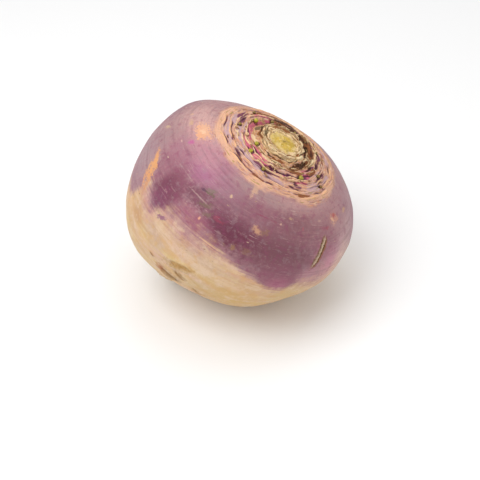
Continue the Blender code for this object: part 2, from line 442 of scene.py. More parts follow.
CREVICES = [  # longitude, radius, half length round the ring, half width and depth in mm
    (6, 12.8, 6, 1.6, 1.2), (38, 14.2, 9, 1.6, 1.6), (74, 15.8, 9, 1.4, 1.5), (108, 15, 6, 1, 1.2),
    (312, 14.4, 3, 0.5, 0.7),
]
CREVICE_RADIUS = 15.4
CREVICE_FILL = 1.5
CREVICE_FILL_SIDE = 225
SEAT_DEPTH = 0.5
SLITS = [  # longitude, radius, half length round the ring, half width and depth in mm
    (350, 20.3, 2.8, 1.1, 2.2), (336, 14.6, 3, 0.6, 1), (341, 24.4, 3.2, 0.5, 1),
    (327, 27.9, 1.3, 0.7, 0.8), (220, 28, 3, 0.4, 0.7), (257, 24.7, 3.2, 0.6, 0.8),
    (268, 21.6, 5, 0.7, 0.4), (158, 22.5, 3.2, 0.7, 0.7), (198, 28.6, 1.2, 0.5, 0.6),
    (286, 27.2, 1.6, 0.6, 0.7), (292, 25.6, 1.2, 0.7, 0.6), (25, 19.5, 5, 0.9, 1.1), (60, 24, 4, 0.7, 0.8),
    (95, 20, 5, 0.9, 1), (118, 27, 3, 0.6, 0.7), (5, 27.5, 3, 0.6, 0.7),
]
BUD_SEATS = [  # longitude, radius and length in mm, and how green it still is
    (148, 17.3, 2.9, 1), (213, 15.3, 2.4, 1), (225, 21.8, 2.7, 1), (251, 24.9, 2.4, 0.4),
    (301, 21.9, 3, 0.65), (176, 22.7, 2, 0.3), (333, 23.2, 2.1, 0.2), (329, 28.2, 1.9, 0.1),
    (20, 20.6, 2.4, 0.2), (66, 17.8, 2, 0.3), (108, 17.9, 2.3, 0.25), (128, 24.6, 1.8, 0.2),
]


def turn_from(longitude):
    """Radians round the axis from this longitude, from -pi to pi."""
    return (lon - math.radians(longitude) + math.pi) % (2 * math.pi) - math.pi


def on_side(longitude, low, high):
    """1 on the side round this longitude and 0 on the other; low and high are cosines."""
    return fade(np.cos(lon - math.radians(longitude)), low, high)


# A slow sway, a fray and a fine grain keep the rings from being regular.
sway = ring_noise(4.0, 0.15, 3.1)
fray = ring_noise(6.0, 0.45, 17.7)
grain = ring_noise(26.0, 1.3, 41.3)
bent_radius = radius + RING_SWAY * sway + RING_FRAY * fray
worn_radius = radius + WORN_SHIFT * on_side(WORN_SIDE, 0.5, 0.95)
unworn = (1 - WORN_SHARE) + WORN_SHARE * fade(worn_radius, *WORN_REACH)
lip_cork_and_highlight = np.zeros(len(places))
dark_lines_and_groove_shade = np.zeros(len(places))
crown_relief = np.zeros(len(places))
for number in range(SCAR_COUNT):
    across = turn_from(FIRST_SCAR + number * GOLDEN_ANGLE) / math.radians(SCAR_SPAN) + 0.15 * sway
    inside = OUTERMOST_SCAR - number * SCAR_SPACING + SCAR_BOW * (1 - across**2) - bent_radius
    breadth = SCAR_BREADTH * np.sqrt(np.clip(1 - across**2, 0, 1)) * (1 + 0.3 * fray)
    ends = fade(np.abs(across), 1, SCAR_ENDS)
    covered = fade(inside, -0.25, 0.1) * fade(inside, breadth + 0.3, breadth) * fade(np.abs(across), 1, 0.93)
    # The lip is pale cork, painted paler still as a painted highlight on its raised edge.
    this_lip = bump(inside - LIP_INSET, LIP_HALF_WIDTH * (1 + 0.5 * grain)) * ends
    this_lip *= np.clip(0.75 + fray, 0, 1)
    # The axil groove is painted dark as painted shade.
    this_axil = bump(inside - breadth, AXIL_HALF_WIDTH) * ends * bump(across, 0.75)
    this_axil *= unworn * (LEAST_AXIL + (1 - LEAST_AXIL) * (number * GOLDEN_SHARE % 1))
    face = LIP_HEIGHT * this_lip - AXIL_DEPTH * this_axil
    crown_relief = np.where(covered > 0, crown_relief * (1 - covered) + face * covered, crown_relief + face)
    lip_cork_and_highlight = np.maximum(lip_cork_and_highlight * (1 - covered), this_lip)
    dark_lines_and_groove_shade = np.maximum(dark_lines_and_groove_shade * (1 - covered), this_axil)
lip_cork_and_highlight *= 0.75 * (1 - 0.6 * fade(np.sin(lon), 0, 0.5) * fade(radius, 24, 19))

# Torn rims of cork that stand prouder than the scars, each with a groove along its inside. The rims are
# painted pale as cork and painted highlight, and the grooves dark as painted shade.
for first_longitude, first_radius, last_longitude, last_radius, height in CORK_RIMS:
    span = math.radians(last_longitude - first_longitude)
    along = turn_from((first_longitude + last_longitude) / 2) / span + 0.5
    drawn = tapered(along, RIM_TAPER) * np.clip(0.95 + fray, 0.3, 1)
    from_rim = bent_radius + 0.25 * fray - np.interp(along, (0, 1), (first_radius, last_radius))
    this_rim = bump(from_rim, RIM_HALF_WIDTH * (1 + 0.5 * grain)) * drawn
    inside_rim = bump(from_rim + RIM_GROOVE[0], RIM_GROOVE[1]) * drawn * np.clip(0.7 + 1.2 * sway, 0.15, 1)
    lip_cork_and_highlight = np.maximum(lip_cork_and_highlight * (1 - inside_rim), this_rim)
    dark_lines_and_groove_shade = np.maximum(dark_lines_and_groove_shade * (1 - this_rim), inside_rim)
    crown_relief += height * (this_rim - RIM_GROOVE[2] * inside_rim)

# The stub of the stem, with its own lips, its edge and the line round the pith. One side has rotted back.
shifted = places[:, :2] - np.outer(1 - (np.minimum(radius, STUB_REACH) / STUB_REACH) ** 2, STUB_SHIFT)
rotted_side = on_side(ROTTED_SIDE, 0.3, 0.9) * fade(radius, 6, 11)
stub_radius = np.hypot(shifted[:, 0], shifted[:, 1]) + 0.9 * sway + 0.45 * fray + STUB_LOSS * rotted_side
on_stub = fade(stub_radius, STUB_EDGE + 0.3, STUB_EDGE - 0.2)
crown_relief *= 1 - on_stub
lip_cork_and_highlight *= 1 - on_stub
dark_lines_and_groove_shade *= 1 - on_stub
# The stub's lips are painted pale, and their grooves and the stub's edge dark, as painted highlight and
# painted shade; the line round the pith is a brown line of its own.
for number, (crest, height) in enumerate(STUB_LIPS):
    drawn = np.clip(0.45 + 1.6 * ring_noise(1.8, 0.0, 5.3 * number + 0.7), 0, 1)
    this_lip = drawn * bump(stub_radius - crest, STUB_LIP_SHAPE[0])
    this_groove = drawn * bump(stub_radius - crest - STUB_LIP_SHAPE[1], STUB_LIP_SHAPE[2])
    lip_cork_and_highlight = np.maximum(lip_cork_and_highlight, this_lip)
    dark_lines_and_groove_shade = np.maximum(dark_lines_and_groove_shade, this_groove)
    crown_relief += height * (this_lip - 1.2 * this_groove)
crown_relief += on_stub * layered_noise(STUB_ROUGH)
edge_line = bump(stub_radius - STUB_EDGE, STUB_EDGE_SHAPE[0]) * (1 - 0.75 * on_side(WORN_SIDE, 0.1, 0.8))
pith_line = bump(stub_radius - PITH_EDGE, PITH_EDGE_SHAPE[0]) * np.clip(0.6 + 1.2 * fray, 0.1, 1)
dark_lines_and_groove_shade = np.maximum(dark_lines_and_groove_shade, np.maximum(edge_line, 0.55 * pith_line))
crown_relief -= STUB_EDGE_SHAPE[1] * edge_line + PITH_EDGE_SHAPE[1] * pith_line

# Slits, the crevice round the stub, which is filled in on one side, and the hollows that the buds sit in.
# The slits, the crevices and the rings round the bud hollows are painted dark as painted shade.
for longitude, middle, half_length, half_width, depth in SLITS + CREVICES:
    from_middle = radius - middle - 0.5 * fray
    slit = bump(turn_from(longitude) * middle, half_length) * bump(from_middle, half_width)
    dark_lines_and_groove_shade = np.maximum(dark_lines_and_groove_shade, np.clip(1.4 * slit, 0, 1))
    crown_relief -= depth * slit
for longitude, middle, length, green in BUD_SEATS:
    from_bud = np.hypot(turn_from(longitude) * middle, radius - middle)
    dark_lines_and_groove_shade = np.maximum(dark_lines_and_groove_shade, 0.8 * bump(from_bud - 0.45 * length, 0.2 * length))
    crown_relief -= SEAT_DEPTH * bump(from_bud, 0.62 * length)
crown_relief += CREVICE_FILL * on_side(CREVICE_FILL_SIDE, -0.3, 0.7) * bump(radius - CREVICE_RADIUS, 1.8)
crown_relief += 0.16 * grain + 0.12 * fray
tones = {tone: np.zeros(len(places)) for tone in CROWN_PATCHES}
for tone, patches in CROWN_PATCHES.items():
    for longitude, middle, half_length, half_breadth in patches:
        lengthwise = turn_from(longitude) * middle / half_length
        breadthwise = (bent_radius + 0.5 * fray - middle) / half_breadth
        tones[tone] = np.maximum(tones[tone], bump(lengthwise**2 + breadthwise**2, 1.1))
on_crown = fade(radius + 1.5 * sway + 1.3 * fray + 0.7 * grain, *CROWN_EDGE) * (places[:, 2] > 0)
lip_cork_and_highlight *= on_crown
dark_lines_and_groove_shade *= on_crown
relief += crown_relief * on_crown

# The flanks: broad swellings, and fine wrinkles that run round the root as its girth grew.
SMOOTHING_LOSS = 0.25  # what smoothing the facets took off, in mm
LUMPS = [(0.35, 17, 5), (0.12, 6, 9)]  # height, pitch and offset
WRINKLED = (34, 60)  # how far down from the crown the wrinkles start and are full, in mm
wrinkles = 0.06 * ring_noise(3.0, 0.55, 7.9) + 0.03 * ring_noise(7.0, 1.2, 23.1)
wavy = layered_noise(LUMPS) + wrinkles * fade(down, *WRINKLED)
relief += wavy * (1 - on_crown) + SMOOTHING_LOSS

# --------------------------------------------------------------------------
# The taproot. It was cut straight across near its base, which left a flat pale face. The cone above the cut
# is swollen a little where it healed, and ringed with wrinkles.
# --------------------------------------------------------------------------
TAPROOT_LONGITUDE = 208
TAPROOT_LATITUDE = -70
TAPROOT_REGROWTH = 1.0
TAPROOT_SPREAD = 4.2
TAPROOT_RING_PITCH = 2.1
TAPROOT_RING_HEIGHT = 0.16
TAPROOT_RINGED = 9.0
CUT_REACH = 14
along_taproot = np.array(heading(TAPROOT_LONGITUDE, TAPROOT_LATITUDE))
solid_places = np.array([lean.inverted() @ (vertex.co - HEART) for vertex in solid.verts]) / MM
cut_height = (solid_places @ along_taproot).max()
from_taproot = np.linalg.norm(np.cross(places, along_taproot), axis=1)
lower_half = places @ along_taproot > 0
relief += TAPROOT_REGROWTH * bump(from_taproot, TAPROOT_SPREAD) * lower_half
ring_phase = 2 * math.pi * from_taproot / TAPROOT_RING_PITCH + 2 * sway
ringed = bump(from_taproot, TAPROOT_RINGED) * fade(from_taproot, 2.5, 5) * lower_half
relief += TAPROOT_RING_HEIGHT * ringed * np.sin(ring_phase)

outward = places / np.array((GIRTH_RADIUS, GIRTH_RADIUS, CROWN_RISE)) ** 2
outward /= np.linalg.norm(outward, axis=1, keepdims=True)
shaped = places + outward * relief[:, None]
beyond_cut = np.clip(shaped @ along_taproot - cut_height, 0, None)
shaped -= beyond_cut[:, None] * along_taproot
cut = ((beyond_cut > 0) & (from_taproot < CUT_REACH)).astype(float)
shaped = shaped @ np.array(lean).T * MM + np.array(HEART)
shaped[:, 2] = np.maximum(shaped[:, 2], 0.0)
skin_mesh.vertices.foreach_set("co", shaped.ravel())
skin_mesh.update()
skin_mesh.shade_smooth()

# --------------------------------------------------------------------------
# The skin's finish. Light reddened the skin wherever it stood out of the soil, so it is mauve to crimson
# purple above the old soil line and cream below. It is thin, waxy and rubbed, with streaks round the root.
# --------------------------------------------------------------------------
SOIL_LINE = [  # longitude, latitude where the purple ends, and how softly, in degrees
    (0, 7, 3), (14, 2, 2), (28, 4, 4), (40, -3, 2), (58, -2, 3), (70, -9, 2), (86, -7, 4), (100, -14, 2),
    (118, -11, 4), (130, -17, 2), (146, -13, 4), (160, -17, 3), (180, -15, 3), (193, -14, 2), (200, -13, 2),
    (204, -4, 3), (208, 4, 3), (213, -2.5, 3), (217, -4.5, 2), (221, -1.5, 2), (225, 3.5, 3.5), (231, 4, 5),
    (240, 3.5, 6), (248, 3.5, 4.5), (256, 4.4, 3), (262, 4.4, 1.5), (267, 2.6, 1.2), (273, 1, 1.2),
    (279, -0.5, 1.2), (285, -3, 1.5), (291, -4.5, 1.5), (295, -4, 2), (299, 0, 2), (303, 2, 3),
    (317, -1, 4), (339, 6, 4), (350, 8, 3),
]
line_longitudes, line_latitudes, line_softness = zip(*SOIL_LINE)
turn_degrees = np.degrees(lon) % 360
above_line = latitude - np.interp(turn_degrees, line_longitudes, line_latitudes, period=360)
softness = np.interp(turn_degrees, line_longitudes, line_softness, period=360)
kept = {
    "growth": np.column_stack((round_ring, down)),
    "above_line": above_line,
    "line_softness": softness,
    "lip_cork_and_highlight": lip_cork_and_highlight,
    "dark_lines_and_groove_shade": dark_lines_and_groove_shade,
    "crown": on_crown,
    "crown_radius": radius + 0.7 * sway + 0.35 * fray,
    "stub_radius": stub_radius,
    **tones,
    "cork": cork,
    "floor_darkening": floor_darkening,
    "cut": cut,
}


def keep_on(mesh, name, values):
    """Keeps a number, or a vector, for every vertex of a mesh."""
    values = np.array(values, dtype=np.float32)
    kind, socket = ("FLOAT_VECTOR", "vector") if values.ndim == 2 else ("FLOAT", "value")
    mesh.attributes.new(name, kind, "POINT").data.foreach_set(socket, values.ravel())


for name, values in kept.items():
    keep_on(skin_mesh, name, values)


def put(tree, kind, sockets=None, **settings):
    """Adds a node with these settings, and links or sets its sockets."""
    made = tree.nodes.new(kind)
    for name, value in settings.items():
        setattr(made, name, value)
    for name, value in (sockets or {}).items():
        if isinstance(value, bpy.types.NodeSocket):
            tree.links.new(value, made.inputs[name])
        else:
            made.inputs[name].default_value = value
    return made


def calc(tree, operation, *values, clamp=False):
    """One step of arithmetic; gives its result."""
    made = put(tree, "ShaderNodeMath", dict(enumerate(values)), operation=operation, use_clamp=clamp)
    return made.outputs[0]


def vector_calc(tree, operation, *values):
    """One step of vector arithmetic; gives its result."""
    made = put(tree, "ShaderNodeVectorMath", dict(enumerate(values)), operation=operation)
    return made.outputs["Value" if operation in ("DOT_PRODUCT", "LENGTH") else "Vector"]


def ease(tree, value, low, high):
    """0 at low and 1 at high, smooth between them."""
    sockets = {"Value": value, "From Min": low, "From Max": high}
    return put(tree, "ShaderNodeMapRange", sockets, interpolation_type="SMOOTHSTEP").outputs[0]


def pigment(red, green, blue):
    """A colour for a socket, from its red, green and blue on a screen, out of 255."""
    shares = [value / 255 for value in (red, green, blue)]
    return tuple(((share + 0.055) / 1.055) ** 2.4 for share in shares) + (1.0,)


def tint(tree, mask, under, over, strength=1):
    """The colour over laid on the colour under where the mask is 1. Each is a socket or on-screen values."""
    if strength < 1:
        mask = calc(tree, "MULTIPLY", mask, strength)
    under, over = [pigment(*each) if isinstance(each, tuple) else each for each in (under, over)]
    return put(tree, "ShaderNodeMix", {0: mask, 6: under, 7: over}, data_type="RGBA").outputs[2]


def layered(tree, colour, layers):
    """Lays tints on a colour. Each has a mask, or a value and where it fades in, a colour and a strength."""
    for *where, shade, strength in layers:
        mask = ease(tree, *where) if len(where) > 1 else where[0]
        colour = tint(tree, mask, colour, shade, strength)
    return colour


def group(name, vectors, numbers, output):
    """An empty shader node group that takes vectors and numbers and gives one number; and its two ends."""
    tree = bpy.data.node_groups.new(name, "ShaderNodeTree")
    for label in vectors + numbers:
        kind = "NodeSocketVector" if label in vectors else "NodeSocketFloat"
        tree.interface.new_socket(label, in_out="INPUT", socket_type=kind)
    tree.interface.new_socket(output, in_out="OUTPUT", socket_type="NodeSocketFloat")
    return tree, tree.nodes.new("NodeGroupInput").outputs, tree.nodes.new("NodeGroupOutput").inputs


def in_root(tree, place):
    """The root's own coordinates in mm, from the object's."""
    sockets = {"Vector": place, "Location": HEART, "Rotation": (0, LEAN, 0), "Scale": (MM, MM, MM)}
    return put(tree, "ShaderNodeMapping", sockets, vector_type="TEXTURE").outputs[0]


def noisy(tree, vector, scale, detail, roughness):
    """A noise value from about 0.3 to 0.7."""
    sockets = {"Vector": vector, "Scale": scale, "Detail": detail, "Roughness": roughness}
    return put(tree, "ShaderNodeTexNoise", sockets).outputs["Fac"]


# Grain of any size that stays with the root's flesh, in every material of the root.
GRAIN_SIZES = ("Scale", "Detail", "Roughness")
grains, given, wanted = group("grain of the flesh", ("Place", "Stretch"), GRAIN_SIZES, "Grain")
drawn_out = vector_calc(grains, "MULTIPLY", in_root(grains, given["Place"]), given["Stretch"])
found = noisy(grains, drawn_out, given["Scale"], given["Detail"], given["Roughness"])
grains.links.new(found, wanted["Grain"])

# Streaks that run round the root, where rows of cells were stretched by its growth.
STREAK_SIZES = ("Round", "Down", "Rarity", "Softness")
streaks, given, wanted = group("growth streaks", ("Growth",), STREAK_SIZES, "Mask")
stretch = put(streaks, "ShaderNodeCombineXYZ", {0: given["Round"], 1: given["Round"], 2: given["Down"]})
stretched = vector_calc(streaks, "MULTIPLY", given["Growth"], stretch.outputs[0])
above = calc(streaks, "SUBTRACT", noisy(streaks, stretched, 1, 2.5, 0.55), given["Rarity"])
streaks.links.new(calc(streaks, "DIVIDE", above, given["Softness"], clamp=True), wanted["Mask"])

# A mark of any size: an oval round a centre, stretched one way, with a torn or a soft edge.
MARK_SIZES = ("Half Length", "Half Width", "Tear", "Softness")
mark, given, wanted = group("skin mark", ("Place", "Centre", "Way"), MARK_SIZES, "Mask")
offset = vector_calc(mark, "SUBTRACT", given["Place"], given["Centre"])
distance_squared = calc(mark, "POWER", vector_calc(mark, "LENGTH", offset), 2)
length_squared = calc(mark, "POWER", vector_calc(mark, "DOT_PRODUCT", offset, given["Way"]), 2)
width_squared = calc(mark, "MAXIMUM", calc(mark, "SUBTRACT", distance_squared, length_squared), 0)
long_share = calc(mark, "DIVIDE", length_squared, calc(mark, "POWER", given["Half Length"], 2))
wide_share = calc(mark, "DIVIDE", width_squared, calc(mark, "POWER", given["Half Width"], 2))
oval = calc(mark, "SQRT", calc(mark, "ADD", long_share, wide_share))
torn = calc(mark, "ADD", oval, given["Tear"])
inner = calc(mark, "SUBTRACT", 1, given["Softness"])
outer = calc(mark, "ADD", 1, given["Softness"])
mark.links.new(ease(mark, torn, outer, inner), wanted["Mask"])


def new_paint(name):
    """An empty material; gives it and its tree."""
    made = bpy.data.materials.new(name)
    made.use_nodes = True
    return made, made.node_tree


def grain_mask(tree, scale, detail=3, roughness=0.55, stretch=(1, 1, 1)):
    """Grain of the flesh: cells for each mm, how detailed and rough they are, and how they are stretched."""
    sockets = {"Place": put(tree, "ShaderNodeTexCoord").outputs["Object"], "Stretch": stretch}
    sockets |= {"Scale": scale, "Detail": detail, "Roughness": roughness}
    return put(tree, "ShaderNodeGroup", sockets, node_tree=grains).outputs["Grain"]


def stored(tree, name):
    """A number kept on the piece's vertices."""
    return put(tree, "ShaderNodeAttribute", attribute_name=name).outputs["Fac"]


def finish_paint(tree, colour, roughness, height, lift, depth, shine):
    """Joins colour, roughness and relief, in metres, to the shader; shine holds what is constant."""
    shader = tree.nodes["Principled BSDF"]
    relief = put(tree, "ShaderNodeBump", {"Height": height, "Strength": lift, "Distance": depth}).outputs[0]
    for name, value in {"Base Color": colour, "Roughness": roughness, "Normal": relief}.items():
        tree.links.new(value, shader.inputs[name])
    for name, value in shine.items():
        shader.inputs[name].default_value = value


skin_paint, paint = new_paint("rutabaga skin")
root_place = in_root(paint, put(paint, "ShaderNodeTexCoord").outputs["Object"])
growth = put(paint, "ShaderNodeAttribute", attribute_name="growth").outputs["Vector"]


def streak_mask(around, down, rarity, softness):
    """Streaks round the root: cells for each radian and each mm down, how rare they are and how soft."""
    sockets = {"Growth": growth, "Round": around, "Down": down, "Rarity": rarity, "Softness": softness}
    return put(paint, "ShaderNodeGroup", sockets, node_tree=streaks).outputs["Mask"]


tear = calc(paint, "SUBTRACT", grain_mask(paint, 0.55, 5, 0.65), 0.5)
fine_tear = calc(paint, "SUBTRACT", grain_mask(paint, 0.85, 4, 0.7), 0.5)
mottle = grain_mask(paint, 0.32, 6, 0.68)
clouds = grain_mask(paint, 0.075)
blotches = grain_mask(paint, 0.22, 5, 0.6)
fine = grain_mask(paint, 2.4, 4, 0.7)
specks = grain_mask(paint, 1.1, 3, 0.8)
above_soil = stored(paint, "above_line")

MAUVE_MARKS = [  # longitude, latitude, half length, half width, turn, tear, softness, colour, strength
    (188, 18, 22, 12, 0, 1, 0.9, (162, 126, 128), 0.8),
    (190, 4, 16, 10, 0, 1, 0.8, (162, 132, 136), 0.8),
    (216, 16, 14, 9, -15, 1.8, 0.6, (124, 66, 84), 0.97),
    (217, 9, 9, 6, 0, 1.8, 0.7, (108, 48, 70), 0.9),
    (219, 2, 4.5, 8, 10, 1.8, 0.6, (122, 62, 88), 0.9),
    (282, 16, 24, 13, -8, 1.4, 0.8, (112, 66, 76), 0.97),
    (254, 16, 14, 8, 5, 1.8, 0.7, (98, 38, 60), 0.97),
    (290, 3, 12, 8, 0, 1.5, 0.7, (134, 78, 94), 0.85),
    (262, 30, 22, 7, 0, 1.4, 0.9, (136, 88, 100), 0.8),
    (240, 31, 10, 6, 0, 1.4, 0.8, (140, 102, 112), 0.7),
    (318, 14, 8, 12, 10, 1.2, 0.8, (164, 112, 118), 0.7),
    (330, 16, 9, 10, 0, 1.2, 0.8, (184, 148, 142), 0.8),
    (300, 30, 14, 6, 0, 1.4, 0.9, (140, 94, 98), 0.7),
    (218, 34, 15, 9, 0, 1.2, 0.9, (170, 112, 134), 0.85),
    (262, 40, 15, 3, 0, 1.4, 0.8, (160, 130, 128), 0.7),
    (176, 34, 8, 6, 0, 1.4, 0.9, (196, 142, 148), 0.8),
    (202, 22, 8, 6, 0, 1.4, 0.9, (160, 108, 122), 0.7),
    (233, 19, 7, 4.5, 0, 1.8, 0.6, (104, 48, 68), 0.8),
    (238, 9.5, 10, 4, 0, 1.8, 0.7, (150, 84, 104), 0.85),
    (291, -1, 6, 4, 0, 1.4, 0.8, (166, 98, 118), 0.8),
    (190, 38, 20, 6, 0, 1.2, 0.9, (206, 162, 156), 0.75),
    (288, 31, 9, 5, 0, 1.4, 0.9, (122, 74, 86), 0.55),
    (208, 12, 4, 6, 0, 1.4, 0.8, (162, 114, 124), 0.6),
    (330, 11, 9, 6, 0, 1.4, 0.8, (212, 176, 164), 0.9),
    (326, 4, 11, 6, -20, 1.4, 0.8, (210, 166, 150), 0.85),
    (320, 13, 5, 8, -10, 1.4, 0.8, (188, 122, 142), 0.75),
    (327, 19, 6, 5, 0, 1.4, 0.8, (182, 134, 144), 0.6),
    (306, 5, 6, 5, 0, 1.6, 0.8, (186, 132, 140), 0.75),
    (223, 27, 6, 4, 0, 1.6, 0.8, (156, 84, 126), 0.5),
    (318, 34, 9, 4, 0, 1.6, 0.8, (150, 106, 112), 0.5),
    (171, 34, 9, 10, 0, 1.4, 0.9, (196, 158, 150), 0.6),
    (244, 22, 8, 4, 0, 1.6, 0.8, (120, 66, 84), 0.55),
    (316, 22, 9, 6, 0, 1.6, 0.8, (136, 84, 96), 0.55),
    (208, 35, 7, 4, 0, 1.6, 0.8, (166, 104, 128), 0.5),
    (343, 20, 7, 8, 0, 1.4, 0.8, (182, 146, 146), 0.6),
    (20, 16, 18, 10, 0, 1.4, 0.8, (122, 74, 84), 0.85),
    (75, 8, 16, 12, 10, 1.4, 0.8, (116, 64, 80), 0.9),
    (112, 6, 12, 9, 0, 1.4, 0.7, (108, 54, 74), 0.9),
    (148, 12, 14, 10, 0, 1.4, 0.8, (136, 90, 102), 0.8),
    (50, 32, 14, 6, 0, 1.4, 0.8, (138, 94, 106), 0.8),
]
CREAM_MARKS = [  # the same columns
    (210, -15, 6, 9, 0, 1.2, 0.8, (188, 140, 98), 0.8),
    (232, -8, 7, 4, 0, 1.4, 0.8, (196, 150, 118), 0.5),
    (304, -2, 6, 4, 0, 1.4, 0.8, (188, 138, 130), 0.7),
    (280, -14, 8, 10, 0, 1.2, 0.8, (200, 160, 108), 0.8),
    (300, -8, 10, 10, 0, 1, 0.8, (198, 168, 118), 0.8),
    (250, -5, 14, 6, 0, 1.2, 0.8, (196, 164, 142), 0.8),
    (228, -13, 8, 6, 0, 1.2, 0.8, (194, 162, 140), 0.8),
    (214, -3, 8, 5, -20, 1.6, 0.8, (192, 138, 140), 0.65),
    (197, -14, 9, 10, 0, 1.2, 0.8, (218, 176, 130), 0.7),
    (236, 1, 12, 3.4, -6, 1.6, 0.8, (190, 138, 140), 0.6),
    (240, -9, 9, 3, -14, 1.6, 0.8, (206, 164, 150), 0.6),
    (262, -24, 8, 6, 0, 1.2, 0.8, (198, 172, 142), 0.8),
    (241.5, -32.2, 7, 4.4, -6, 1.4, 0.5, (150, 108, 66), 0.85),
    (236.6, -31.4, 3.2, 3.2, 0, 1.6, 0.6, (166, 92, 36), 0.9),
    (243, -32.8, 4.2, 3, 0, 1.6, 0.6, (102, 76, 52), 0.9),
    (243, -39, 8, 2.4, -4, 1.4, 0.5, (224, 184, 138), 0.8),
    (262, -33, 3, 5, 60, 1.2, 0.8, (176, 134, 88), 0.7),
    (244.5, -18.2, 8.4, 2.4, 24, 3, 0.6, (160, 118, 44), 0.9),
    (247.5, -24.8, 4.2, 1.9, -26, 2, 0.6, (142, 98, 44), 0.85),
    (228.5, -26, 1.8, 1.2, -20, 1.4, 0.6, (166, 112, 80), 0.85),
    (256, -22, 7, 0.7, -26, 2, 0.7, (190, 150, 84), 0.6),
    (250, -9, 12, 2.6, -8, 1.8, 0.8, (222, 192, 160), 0.6),
    (232, -8, 10, 2.4, -20, 1.8, 0.8, (222, 192, 160), 0.6),
    (238, -13, 10, 1.6, -18, 1.8, 0.8, (204, 160, 104), 0.6),
    (262, -16, 12, 1.8, -12, 1.8, 0.8, (206, 164, 108), 0.6),
    (268, -10, 12, 2.2, -10, 1.8, 0.8, (220, 190, 158), 0.5),
    (216, -22, 9, 3, -10, 1.8, 0.8, (218, 184, 148), 0.6),
    (275, -26, 14, 9, 0, 1.2, 0.8, (202, 166, 100), 0.75),
    (60, -20, 14, 8, 0, 1.2, 0.8, (190, 150, 110), 0.8),
    (120, -28, 16, 9, 0, 1.2, 0.8, (198, 166, 136), 0.8),
    (340, -12, 14, 9, 0, 1.2, 0.8, (192, 154, 110), 0.8),
]
